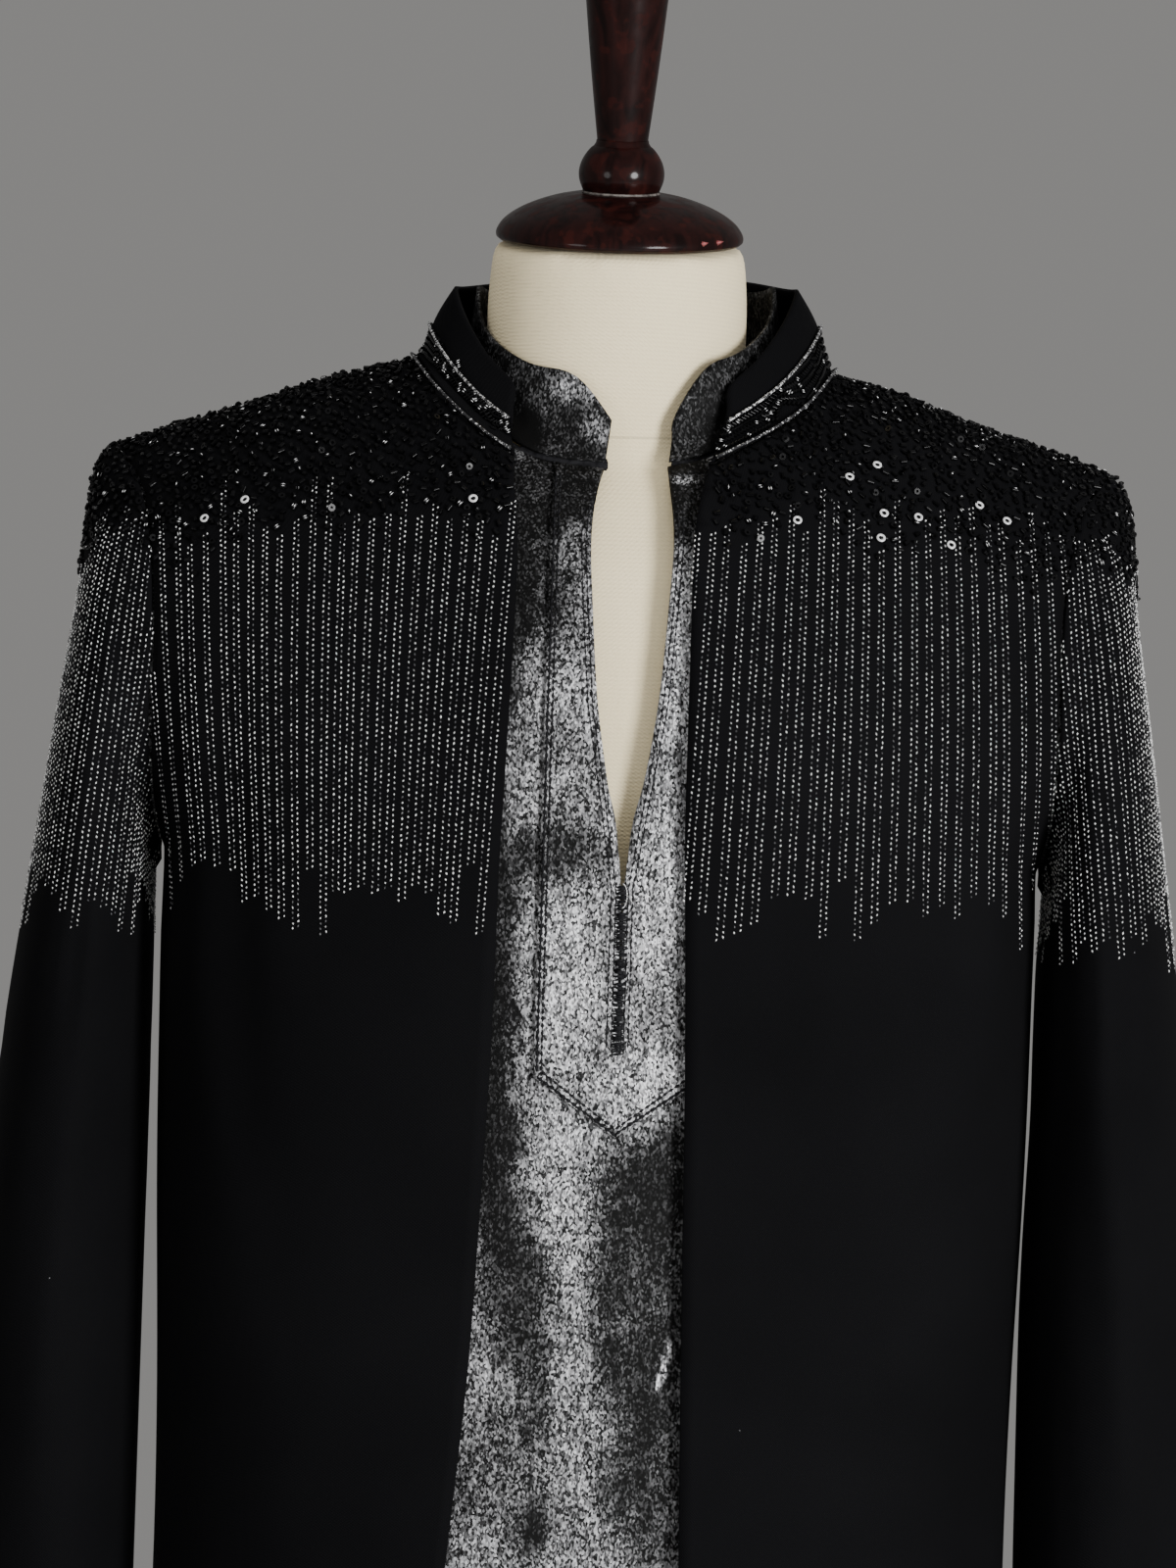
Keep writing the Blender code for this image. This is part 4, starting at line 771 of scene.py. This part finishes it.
def seam_point(turn):
    """Where the collar's foot is at a turn round the neck, from the lowest points near it."""
    near = [spot for step in (-2, -1, 0, 1, 2) for spot in seam.get(round(turn) + step, ())]
    foot = min(spot.z for spot in near)
    reach = [math.hypot(spot.x, spot.y - NECK_Y) for spot in near if spot.z < foot + 0.0006]
    way = Vector((math.sin(turn * SEAM_TURN), -math.cos(turn * SEAM_TURN), 0.0))
    return Vector((0.0, NECK_Y, foot - 0.0011)) + way * (sum(reach) / len(reach) + 0.0003), way


sections = []  # the turn of each section and how full it is
for turn in sorted(seam):
    ends = [turn_of(spot) for spot in seam[turn]]
    if turn - 1 not in seam:
        sections.append((min(min(ends) + 0.9, turn + 0.8), 0.45))
    elif turn + 1 not in seam:
        sections.append((max(max(ends) - 0.9, turn - 0.8), 0.45))
    else:
        sections.append((turn, 1.0))
print("neck seam sections", len(sections))

# %% Kurta neck seam
ROLL_HALF_WIDTH = 0.0008
ROLL_UP, ROLL_DOWN = Vector((0.0, 0.0, 0.0032)), Vector((0.0, 0.0, -0.0019))
WIDEST_GAP = 6  # turns; further apart, two sections belong to different stretches

roll = bmesh.new()
before = None
for turn, full in sections:
    spot, way = seam_point(turn)
    way = way * ROLL_HALF_WIDTH
    edge = [roll.verts.new(spot + shift * full) for shift in (way, ROLL_UP, -way, ROLL_DOWN)]
    if before and turn - before[0] < WIDEST_GAP:
        for k in range(4):
            roll.faces.new((before[1][k], before[1][(k + 1) % 4], edge[(k + 1) % 4], edge[k]))
    if full < 1.0:
        roll.faces.new(edge)
    before = (turn, edge)
mesh = bpy.data.meshes.new("kurta_neck_seam_shadow")
bmesh.ops.recalc_face_normals(roll, faces=roll.faces)
roll.to_mesh(mesh)
roll.free()
mesh.shade_smooth()
# the roll's black thread colour is the seam's painted shadow
dress(placed("kurta_neck_seam_shadow", mesh), black_thread, "kurta_lame")
print("neck seam faces", len(mesh.polygons))

# %% [markdown]
# ## The trousers
# The suit has plain straight trousers below the picture's edge. Each leg is one piece round the leg,
# pressed to a sharp crease in front and behind, with a few slack folds across it.

# %% Trouser shells
TROUSER_PANELS = (  # node, cut width and length, cut area, how it is held, what carries it
    ("trouser_leg_left", 0.600, 0.920, 0.445, "hung", ("trouser_waistband",)),
    ("trouser_leg_right", 0.600, 0.920, 0.430, "hung", ("trouser_waistband",)),
    ("trouser_waistband", 0.930, 0.040, 0.0360, "stretched", ("form_torso",)),
)
TROUSER_CREASES = (
    (-1, 0.046, 0.640, 0.040, 0.090, 0.0040, 0.0034),
    (1, 0.046, 0.640, 0.040, 0.090, 0.0040, 0.0034),
    (-1, 0.010, 0.460, 0.080, 0.400, 0.0120, -0.0030),
    (-1, 0.000, 0.160, 0.075, 0.130, 0.0140, -0.0036),
    (-1, -0.092, 0.640, -0.086, 0.090, 0.0040, 0.0034),
    (1, -0.092, 0.640, -0.086, 0.090, 0.0040, 0.0034),
    (-1, -0.130, 0.480, -0.060, 0.430, 0.0120, -0.0030),
    (-1, -0.125, 0.170, -0.050, 0.140, 0.0140, -0.0036),
)
for node, width, length, area, held, carried in TROUSER_PANELS:
    creases = TROUSER_CREASES if "leg" in node else ()
    garment(node, trousering, "trouser_cloth", creases)

# %% [markdown]
# ## The dress form
# The torso is a hard shape under a stretched cover, so it must be smooth. Its copy is remeshed evenly and
# its facets are ironed out. The turned wood and the pole only need rounding.

# %% Form pieces
FACET = 0.0042  # the size of an even facet
torso = shell("form_torso", "form_torso_cover", 0)
even = torso.modifiers.new("even", "REMESH")
even.mode, even.voxel_size = "VOXEL", FACET
ironed = torso.modifiers.new("ironed", "SMOOTH")
ironed.factor, ironed.iterations = 0.5, 16
settled(torso)
torso.data.shade_smooth()
dress(torso, form_cover, "form_cover", "form_torso")
for node in ("form_cap", "form_ball", "form_finial", "form_base"):
    dress(shell(node, node + "_turned"), varnished_wood, "dark_wood", node)
dress(shell("form_pole", "form_pole_tube"), black_enamel, "stand_metal", "form_pole")
print("torso faces", len(torso.data.polygons))

# %% [markdown]
# ## Small shapes
# Everything small is a ring turned from a profile, a seed or a tube. A `Pile` collects many of them into
# one mesh, because thousands of objects would be slow.

# %% Small shapes
class Pile:
    """Collects small shapes into one mesh."""

    def __init__(self):
        self.points, self.faces = [], []

    def add(self, points, faces):
        first = len(self.points)
        self.points += points
        self.faces += [tuple(first + i for i in face) for face in faces]

    def object(self, name, material, slot):
        mesh = bpy.data.meshes.new(name)
        mesh.from_pydata(self.points, [], self.faces)
        mesh.shade_smooth()
        return dress(placed(name, mesh), material, slot)


def turned(foot, axis, side, profile, steps):
    """A closed ring: a profile of reach and rise, turned about an axis. side is at right angles to it."""
    other = axis.cross(side)
    points, faces = [], []
    for reach, rise in profile:
        for k in range(steps):
            turn = 2 * math.pi * k / steps
            points.append(foot + (side * math.cos(turn) + other * math.sin(turn)) * reach + axis * rise)
    for r in range(len(profile)):
        for k in range(steps):
            n, s = (k + 1) % steps, (r + 1) % len(profile)
            faces.append((r * steps + k, r * steps + n, s * steps + n, s * steps + k))
    return points, faces


def seed(pile, middle, along, up, length, width):
    """A stitch: a spindle with three sides, pointed at both ends."""
    side = along.cross(up).normalized() * width
    lift = up * width
    ends = (middle - along * length / 2, middle + along * length / 2)
    ring = (middle + side, middle + lift, middle - side)
    pile.add([ends[0], *ring, ends[1]], [(0, 2, 1), (0, 3, 2), (0, 1, 3), (4, 1, 2), (4, 2, 3), (4, 3, 1)])


SEED_FACES = 6
print("small shapes ready")

# %% [markdown]
# The finial runs into the ball in one soft shoulder, and a line of dry glue shows where the ball stands on
# the cap. Both are turned about the same leaning axis, from the foot of the piece above.

# %% Shoulder and glue line
LEAN = math.radians(11.5)
SPINDLE = Vector((0.0, -math.sin(LEAN), math.cos(LEAN)))
SHOULDER = (  # reach, rise
    (0.0108, 0.0004), (0.0116, 0.0002), (0.0118, -0.0010),
    (0.0128, -0.0026), (0.0142, -0.0042), (0.0100, -0.0040),
)
GLUE = ((0.0165, 0.0004), (0.0172, 0.0005), (0.0176, -0.0004), (0.0165, -0.0005))


def foot_of(node):
    points = [vertex.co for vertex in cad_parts[node].data.vertices]
    low = min(point.dot(SPINDLE) for point in points)
    rim = [point for point in points if point.dot(SPINDLE) < low + 0.0004]
    return Vector([(min(p[k] for p in rim) + max(p[k] for p in rim)) / 2 for k in range(3)])


for name, above, profile, material in (
    ("form_ball_shoulder", "form_finial", SHOULDER, varnished_wood),
    ("form_ball_glue", "form_ball", GLUE, dry_glue),
):
    turning = Pile()
    turning.add(*turned(foot_of(above), SPINDLE, Vector((1.0, 0.0, 0.0)), profile, 48))
    turning.object(name, material, "dark_wood")
    print(name, "under", above, "at", [round(c, 4) for c in foot_of(above)])

# %% [markdown]
# ## Laying things on cloth
# Embroidery follows the cloth under it. `skin_of` keeps a search tree of a piece's faces. `touch` sends a
# ray at it from outside and gives the first point it meets and the direction that points away from the
# cloth.

# %% Surface helpers
RAY_LENGTH = 4.0


def skin_of(piece):
    points = [vertex.co.copy() for vertex in piece.data.vertices]
    return BVHTree.FromPolygons(points, [tuple(face.vertices) for face in piece.data.polygons])


def touch(skin, start, direction):
    spot, normal, _, _ = skin.ray_cast(Vector(start), Vector(direction).normalized(), RAY_LENGTH)
    if spot is None:
        return None
    return spot, (normal if normal.dot(Vector(direction)) < 0 else -normal)


def seen_at(skin, x, z):
    """What the camera sees at a place that is given on the upright plane through the wearer's middle."""
    return touch(skin, EYE, Vector((x, 0.0, z)) - EYE)


print("surface helpers ready")

# %% [markdown]
# ## Chips in the varnish
# The cap's rim is knocked on the wearer's left, and pinkish ground coat shows in two small chips.

# %% Chips
CHIPS = ((0.0374, 1.5240, 0.0060), (0.0440, 1.5248, 0.0064))  # where each is seen, and its length
ALONG_RIM = Vector((0.97, 0.0, 0.22)).normalized()
chips = Pile()
rim_skin = skin_of(bpy.data.objects["form_cap_turned"])
for x, z, length in CHIPS:
    hit = seen_at(rim_skin, x, z)
    if hit:
        seed(chips, hit[0] - hit[1] * 0.0003, ALONG_RIM, hit[1], length, 0.0014)
chips.object("form_cap_chips", chipped, "dark_wood")
print("chips", len(chips.faces) // SEED_FACES)

# %% [markdown]
# ## Stitched lines
# Silver lines rain down from the beaded shoulders. Each is a narrow double row: two strands of short bright
# stitches, side by side and out of step, that look like strings of dots and spread a little lower down. The
# lines are 6 to 7 mm apart, start at uneven heights, follow the panels as they lean and end raggedly. On
# the back they are mirrored.

# %% One stitched line
STITCH = 0.0023  # from a stitch to the next one down
STRAND = 0.00088  # from the line's middle to a strand, at the top
SPREAD_OVER = 0.08  # this far down, the strands are half as far apart again
LINE_GAP = 0.0065


def stitched_line(pile, skin, ray_of, top, bottom):
    """Stitches down a line. ray_of(z) gives where the ray starts and where it goes."""
    z, before = top, None
    while z > bottom:
        hit = touch(skin, *ray_of(z))
        if hit and before is not None and (hit[0] - before).length < 3 * STITCH:
            along = (before - hit[0]).normalized()
            up = hit[1]
            side = along.cross(up).normalized()
            apart = STRAND * (1.0 + 0.5 * min(max((top - z) / SPREAD_OVER, 0.0), 1.0))
            for turn in (1, -1):
                slant = (along + side * chance.uniform(-0.75, 0.75)).normalized()
                out = side * (turn * apart + chance.uniform(-0.00016, 0.00016))
                step = along * (turn * STITCH * 0.25 + chance.uniform(-0.0002, 0.0002))
                fat = chance.uniform(0.00038, 0.00056)
                seed(pile, hit[0] + out + step + up * 0.0003, slant, up, chance.uniform(0.0012, 0.0018), fat)
        before = hit[0] if hit else None
        z -= STITCH


print("a line of 0.2 m has", int(0.2 / STITCH) * 2, "stitches")

# %% [markdown]
# On the body the lines hang from a top that drops towards the shoulder's end, lean with the panel, fanning
# out from the open front, and end along a wavy, ragged border.

# %% Stitched lines on the body
RAGGED = (0.000, 0.010, 0.021, 0.006, 0.014, 0.027, 0.003, 0.017, 0.009, 0.023, 0.001, 0.012)
LINE_TOP, LINE_END = 1.402, 1.216


def body_end(x):
    return LINE_END + (0.006 * math.sin(x * 61.0) + 0.004 * math.sin(x * 143.0 + 1.0))


def body_lines(pile, node, side, back, low_x, high_x):
    skin = skin_of(pieces[node])
    count = int((high_x - low_x) / LINE_GAP)
    for k in range(count + 1):
        x = low_x + (high_x - low_x) * k / count + chance.uniform(-0.0007, 0.0007)
        ragged = RAGGED[(k * 5 + (3 if side > 0 else 0) + (4 if back else 0)) % len(RAGGED)]
        top = LINE_TOP - 0.10 * max(x - 0.12, 0.0) + chance.uniform(-0.016, 0.014)
        bottom = body_end(side * x) + ragged + chance.uniform(-0.002, 0.002)
        fan = (x - 0.045) / 0.145
        slope = (-0.045 + 0.095 * fan) if side > 0 else (0.045 - 0.125 * fan)

        def ray(z, x=x, top=top, slope=slope):
            lean = (top - z) * slope
            return (side * (x + lean - 0.003), (1.0 if back else -1.0), z), (0.0, -1.0 if back else 1.0, 0.0)

        stitched_line(pile, skin, ray, top, bottom)


for name, halves in (
    ("front_left", (("jacket_front_left", 1, False, 0.0405, 0.213),)),
    ("front_right", (("jacket_front_right", -1, False, 0.0450, 0.213),)),
    ("back", (("jacket_back", 1, True, 0.003, 0.210), ("jacket_back", -1, True, 0.003, 0.210))),
):
    pile = Pile()
    for half in halves:
        body_lines(pile, *half)
    pile.object("stitched_lines_" + name, silver_thread, "silver_cord")
    print(name, "stitches", len(pile.faces) // SEED_FACES)

# %% [markdown]
# On a sleeve the lines run down all round it, so each ray starts outside and goes level towards the
# sleeve's own axis. Next to the body they start lower, where the sleeve comes clear of it.

# %% Stitched lines on the sleeves
SLEEVE_HALF_WIDTH, SLEEVE_HALF_DEPTH = 0.030, 0.078


def sleeve_axis(side, z):
    return side * (0.2360 - 0.10 * max(z - 1.10, 0.0)), -0.004


def sleeve_lines(pile, side, word):
    skin = skin_of(pieces["jacket_sleeve_" + word])
    turns, turn = [], 0.0
    while turn < 2 * math.pi:
        turns.append(turn)
        turn += LINE_GAP / math.hypot(SLEEVE_HALF_DEPTH * math.cos(turn), SLEEVE_HALF_WIDTH * math.sin(turn))
    for k, turn in enumerate(turns):
        inside = math.cos(turn) < -0.93
        top = (1.250 if inside else 1.405 - 0.028 * math.cos(turn)) + chance.uniform(-0.014, 0.010)
        bottom = 1.208 + RAGGED[(k * 5) % len(RAGGED)] + chance.uniform(-0.004, 0.004)
        out = (side * math.cos(turn) * SLEEVE_HALF_WIDTH, math.sin(turn) * SLEEVE_HALF_DEPTH, 0.0)
        way = Vector(out).normalized()

        def ray(z, way=way):
            x, y = sleeve_axis(side, z)
            return (x + way.x * 0.2, y + way.y * 0.2, z), -way

        stitched_line(pile, skin, ray, top, bottom)


for side, word in SIDES:
    pile = Pile()
    sleeve_lines(pile, side, word)
    pile.object("stitched_lines_sleeve_" + word, silver_thread, "silver_cord")
    print("sleeve", word, "stitches", len(pile.faces) // SEED_FACES)

# %% [markdown]
# ## Beads and rings
# The shoulders are crusted with short tube beads that lie every way, thinning out into single beads among
# the tops of the lines. They are scattered on the cloth's outer skin: a point is drawn on a face by its
# area, kept if it is far enough from its neighbours, and the bead lies in the surface at a random turn.

# %% Bead shapes
BEAD_SIDES = 7
NEAR_END, FAR_END = list(range(BEAD_SIDES)), list(range(BEAD_SIDES, 2 * BEAD_SIDES))
BEAD_FACES = [
    *zip(NEAR_END, NEAR_END[1:] + NEAR_END[:1], FAR_END[1:] + FAR_END[:1], FAR_END),
    tuple(reversed(NEAR_END)),
    tuple(FAR_END),
]


def tube_bead(pile, spot, up, along, length, radius):
    side = along.cross(up).normalized()
    points = []
    for reach in (-0.5, 0.5):
        for k in range(BEAD_SIDES):
            turn = 2 * math.pi * k / BEAD_SIDES
            out = (side * math.cos(turn) + up * math.sin(turn)) * radius
            points.append(spot + along * reach * length + out)
    pile.add(points, BEAD_FACES)


def ring(pile, spot, up, radius, hole, thick, steps=14):
    """A flat ring. thick is half its thickness."""
    profile = ((hole, -thick), (radius, -thick), (radius, thick), (hole, thick))
    pile.add(*turned(spot, up, up.orthogonal().normalized(), profile, steps))


def glint(pile, spot, up, along, pair):
    """A painted highlight on a bead: one short bright bar, or two side by side."""
    side = along.cross(up).normalized()
    for shift in ((-0.00055, 0.00055) if pair else (0.0,)):
        seed(pile, spot + side * shift, along, up, chance.uniform(0.0016, 0.0024), 0.00034)


print("bead shapes ready")

# %% Scattering
AROUND = [(i, j, k) for i in (-1, 0, 1) for j in (-1, 0, 1) for k in (-1, 0, 1)]


def scatter(piece, centre, weight, gap, tries):
    """Points on the outer skin, at least gap apart, as spot, up and a direction in the cloth."""
    faces, heap, total = [], [], 0.0
    for face in piece.data.polygons:
        middle = face.center
        out = middle - centre(middle)
        share = weight(middle) if face.normal.dot(out) > 0 else 0.0
        if share > 0:
            total += face.area * min(share, 1.0)
            faces.append(face)
            heap.append(total)
    found, cells = [], {}
    points = piece.data.vertices
    picks = chance.choices(range(len(faces)), cum_weights=heap, k=tries)
    for pick in picks:
        corners = [points[i].co for i in faces[pick].vertices]
        a, b = chance.random(), chance.random()
        if len(corners) == 4:
            upper = corners[0].lerp(corners[1], a)
            spot = upper.lerp(corners[3].lerp(corners[2], a), b)
        else:
            spot = corners[0].lerp(corners[1], a).lerp(corners[2], b * 0.7)
        key = tuple(int(c / gap) for c in spot)
        near = [p for i, j, k in AROUND for p in cells.get((key[0] + i, key[1] + j, key[2] + k), ())]
        if any((spot - p).length < gap for p in near):
            continue
        cells.setdefault(key, []).append(spot)
        up = faces[pick].normal.copy()
        turn = Matrix.Rotation(chance.uniform(0, 2 * math.pi), 3, up)
        found.append((spot, up, turn @ up.orthogonal().normalized()))
    return found


print("scattering ready")

# %% [markdown]
# The border of the beads is a soft wave that drops towards the shoulder's end. Under it, over 30 mm, the
# beads thin out. Close to the eye a bead is either a tube, lying or a little tilted, or a small open ring.

# %% Beaded shoulders
BEAD_GAP = 0.0036  # no two beads are nearer than this
THINNING = 0.030
RING_SHARE = 0.30


def beaded(z, border):
    """How dense the beads are at a height: full above the border, thinning out below it."""
    return min(max((z - border + THINNING) / THINNING, 0.0), 1.0) ** 2


def body_border(x):
    return 1.414 - 0.16 * max(abs(x) - 0.10, 0.0) + 0.006 * math.sin(abs(x) * 95.0)


def crust(name, piece, centre, weight, tries):
    """Black tubes and open rings all over, and on a tube here and there a painted highlight, more of them at
    the border.
    """
    beads, bead_highlights = Pile(), Pile()
    places = scatter(piece, centre, weight, BEAD_GAP, tries)
    for spot, up, along in places:
        tilt = (along + up * chance.uniform(-0.3, 0.3)).normalized()
        if chance.random() < RING_SHARE:
            face = (up + along * chance.uniform(0.0, 1.6)).normalized()
            ring(beads, spot + up * 0.0012, face, chance.uniform(0.0014, 0.0017), 0.00062, 0.00052, 9)
        else:
            radius = chance.uniform(0.00085, 0.00108)
            tube_bead(beads, spot + up * radius * 0.9, up, tilt, chance.uniform(0.0021, 0.0030), radius)
            edge = weight(spot) < 0.85
            if chance.random() < (0.22 if edge else 0.10):
                glint(bead_highlights, spot + up * radius * 1.95, up, tilt, chance.random() < (0.6 if edge else 0.2))
    dressed = beads.object(name, bead_glass, "black_bead")
    dressed.data.set_sharp_from_angle(angle=math.radians(60))
    bead_highlights.object(name + "_painted_highlights", bead_highlight_glass, "ring_sequin")
    print(name, len(places), "beads", len(bead_highlights.faces) // SEED_FACES, "bright")


def body_centre(_):
    return Vector((0.0, 0.0, 1.25))


def body_weight(p):
    return 0.0 if abs(p.x) < 0.044 and p.y < 0 else beaded(p.z, body_border(p.x))


def sleeve_weight(p):
    return beaded(p.z, 1.408 - 0.9 * max(abs(p.x) - 0.222, 0.0))


for node, tries in (("jacket_front_left", 11000), ("jacket_front_right", 11000), ("jacket_back", 20000)):
    crust("beads_" + node[7:], pieces[node], body_centre, body_weight, tries)
for side, word in SIDES:

    def sleeve_centre(p, side=side):
        return Vector((sleeve_axis(side, p.z)[0] * 0.97, -0.002, min(p.z, 1.38)))

    crust("beads_sleeve_" + word, pieces["jacket_sleeve_" + word], sleeve_centre, sleeve_weight, 7000)

# %% [markdown]
# The lower half of the collar carries a dense band between the two cords. Its black tubes are strung in
# rows that run with the cords and look like ropes. Near the front ends more of them carry painted highlights.

# %% Heights of the collar's cords
CORD_TURN = math.pi / 36


def cord_heights(node):
    """The middle height of a cord at each of 72 turns round the neck, where the cord has any points."""
    heights = {}
    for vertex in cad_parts[node].data.vertices:
        turn = math.atan2(vertex.co.x, -(vertex.co.y - NECK_Y))
        heights.setdefault(round(turn / CORD_TURN), []).append(vertex.co.z)
    return {key: sum(values) / len(values) for key, values in heights.items()}


def height_at(heights, turn):
    place = turn / CORD_TURN
    known = sorted(heights, key=lambda key: abs(key - place))[:2]
    if abs(known[0] - place) > 2.5:
        return None
    a, b = min(known), max(known)
    return heights[a] + (heights[b] - heights[a]) * min(max((place - a) / max(b - a, 1), 0.0), 1.0)


upper, lower = cord_heights("collar_cord_upper"), cord_heights("collar_cord_lower")
print("turns with both cords:", len(set(upper) & set(lower)))

# %% Beaded collar band
BAND_ROWS = 5
BEAD_TURN = 0.0016 / 0.086  # from a bead to the next one in its row, round a band of this radius

skin = skin_of(pieces["jacket_collar"])
ropes, bead_highlights = Pile(), Pile()
for row in range(BAND_ROWS):
    share = (row + 0.75) / (BAND_ROWS + 0.4)
    turn = -math.pi
    while turn < math.pi:
        turn += BEAD_TURN
        top, foot = height_at(upper, turn), height_at(lower, turn)
        if top is None or foot is None:
            continue
        way = Vector((math.sin(turn), -math.cos(turn), 0.0))
        z = foot + (top - foot) * share
        hit = touch(skin, (way.x * 0.2, NECK_Y + way.y * 0.2, z), -way)
        if not hit:
            continue
        up = hit[1]
        along = Vector((math.cos(turn), math.sin(turn), 0.0))
        along = (along - up * along.dot(up)).normalized()
        slant = (along + along.cross(up) * (0.55 if row % 2 else -0.55)).normalized()
        tube_bead(ropes, hit[0] + up * 0.0006, up, slant, 0.0021, 0.00068)
        if chance.random() < (0.13 if abs(turn) < 1.25 else 0.03):
            glint(bead_highlights, hit[0] + up * 0.0014, up, slant, True)
ropes.object("beads_collar", bead_glass, "black_bead").data.set_sharp_from_angle(angle=math.radians(60))
bead_highlights.object("beads_collar_painted_highlights", bead_highlight_glass, "ring_sequin")
print("collar beads", len(ropes.faces) // (BEAD_SIDES + 2), "bright", len(bead_highlights.faces) // SEED_FACES)

# %% [markdown]
# Bright ring sequins lie singly near the border of the beads, where the photograph shows them. The back
# gets a similar sprinkling.

# %% Ring sequins
RINGS_FRONT = (  # where each is seen from the camera, on the plane through the wearer's middle
    (-0.1816, 1.3929), (-0.1638, 1.4018), (-0.0618, 1.4055), (0.1185, 1.4261), (0.1063, 1.4204),
    (0.0836, 1.4004), (0.1222, 1.4047), (0.1376, 1.4034), (0.1647, 1.4095), (0.1773, 1.4029),
    (0.1212, 1.3936), (0.1526, 1.3915),
)
SEQUIN = (0.0020, 0.00108, 0.00030)  # radius, hole and half thickness
SEQUIN_LIFT = 0.0018

rings = Pile()
skins = {node: skin_of(pieces["jacket_" + node]) for node in ("front_left", "front_right", "back")}
for k, (x, z) in enumerate(RINGS_FRONT):
    front = seen_at(skins["front_left" if x > 0 else "front_right"], x, z)
    back = touch(skins["back"], (-x * 0.94, 1.0, z - 0.004 * (k % 3)), (0.0, -1.0, 0.0))
    for spot, up in filter(None, (front, back)):
        ring(rings, spot + up * SEQUIN_LIFT, up, *SEQUIN)
rings.object("ring_sequins", ring_foil, "ring_sequin")
print("rings", len(rings.points) // 56)

# %% [markdown]
# ## Topstitching on the kurta
# Two rows of dark stitches follow the placket's outline to its point: the outer one, unbroken along the very
# edge, is the painted shadow of the placket's turned edge, and the inner one is topstitching. Two run along
# the slit's edges.
# Each stitch is a small dark seed pressed into the cloth, between two points of it that are found from the
# front.

# %% Stitching helper
FORWARD = (0.0, 1.0, 0.0)


def sew(pile, skin, places, fat, longest=1.0):
    """One stitch between two places, each an x and z. Over longest it would bridge a gap, and is left out."""
    ends = [touch(skin, (x, -1.0, z), FORWARD) for x, z in places]
    if None in ends:
        return
    (start, up), (end, _) = ends
    if (end - start).length < longest:
        seed(pile, (start + end) / 2 + up * 0.0001, (end - start).normalized(), up, (end - start).length, fat)


def sew_along(pile, skin, points, full, fat=0.00046, pitch=0.0030):
    """Stitches along a line. full is a stitch's share of its pitch: over 1, the stitches overlap."""
    length = 0.0
    for (x0, z0), (x1, z1) in zip(points, points[1:]):
        span = math.hypot(x1 - x0, z1 - z0)
        steps = max(1, round(span / pitch))
        for k in range(steps):
            places = [(x0 + (x1 - x0) * t, z0 + (z1 - z0) * t) for t in (k / steps, (k + full) / steps)]
            sew(pile, skin, places, fat, 2 * pitch)
        length += span
    return length


print("stitching helper ready")

# %% Placket topstitching
SLIT_X = 0.0095
PLACKET_OUTLINE = ((-0.0245, 1.414), (-0.0245, 1.155), (SLIT_X, 1.1312), (0.0435, 1.155), (0.0435, 1.414))
# the first row, unbroken at the very edge, is the painted shadow of the placket's turned edge; the second is
# topstitching
PLACKET_SHADOW_AND_STITCH_ROWS = ((0.0001, 1.40, 0.00080), (0.0020, 1.05, 0.00070))  # inset, full, fat
SLIT_EDGE = (  # height, half the slit's width
    (1.168, 0.0022), (1.236, 0.0022), (1.272, 0.0078), (1.314, 0.0146),
    (1.361, 0.0183), (1.385, 0.0196), (1.400, 0.0186),
)
SLIT_INSETS = (0.0004, 0.0024)


def inset_outline(inset):
    """The placket's outline, moved in towards the slit, and up at its point."""
    row = []
    for x, z in PLACKET_OUTLINE:
        inwards = 0.0 if x == SLIT_X else math.copysign(inset, SLIT_X - x)
        row.append((x + inwards, z + (inset * 1.2 if z < SLIT_EDGE[0][0] else 0.0)))
    return row


pile = Pile()
skin = skin_of(pieces["kurta_placket"])
sewn = 0.0
for inset, full, fat in PLACKET_SHADOW_AND_STITCH_ROWS:
    sewn += sew_along(pile, skin, inset_outline(inset), full, fat)
for side, _ in SIDES:
    for inset in SLIT_INSETS:
        sewn += sew_along(pile, skin, [(SLIT_X + side * (half + inset), z) for z, half in SLIT_EDGE], 1.1)
pile.object("placket_stitches", black_thread, "kurta_lame")
print(f"placket stitching {sewn:.2f} m")

# %% [markdown]
# The lower part of the slit is sewn shut with black thread, criss-cross from edge to edge, so it shows as a
# rough dark line. A grey thread loop stands at its top.

# %% Closed slit
CLOSED_FROM, CLOSED_TO, CLOSING_STEP = 1.1665, 1.2375, 0.0007
BITE = 0.0031  # how far from the slit's middle the thread goes into the cloth

closing = Pile()
z = CLOSED_FROM
while z < CLOSED_TO:
    places = [(SLIT_X + side * BITE, z + side * chance.uniform(-0.0012, 0.0012)) for side in (-1, 1)]
    sew(closing, skin, places, 0.00062)
    z += CLOSING_STEP
closing.object("slit_closing", black_thread, "kurta_lame")
print("closing stitches", len(closing.faces) // SEED_FACES)

# %% Thread loop
LOOP_WIDE, LOOP_HIGH, LOOP_STITCHES = 0.0022, 0.0052, 13
LOOP_FOOT = 0.0034  # beside the slit, where the loop's thread comes out of the cloth

loop = Pile()
spot, up = touch(skin, (SLIT_X + LOOP_FOOT, -1.0, 1.2330), FORWARD)
centre = spot + up * 0.0008 - Vector((LOOP_FOOT, 0.0, 0.0))
for k in range(LOOP_STITCHES):
    turn = math.radians(-75 + 150 * k / (LOOP_STITCHES - 1))
    way = Vector((math.cos(turn) * LOOP_WIDE, 0.0, math.sin(turn) * LOOP_HIGH))
    ahead = Vector((-math.sin(turn) * LOOP_WIDE, 0.0, math.cos(turn) * LOOP_HIGH)).normalized()
    seed(loop, centre + way, ahead, up, 0.0016, 0.00026)
loop.object("slit_thread_loop", silver_thread, "silver_cord")
print("loop at", [round(c, 3) for c in centre])
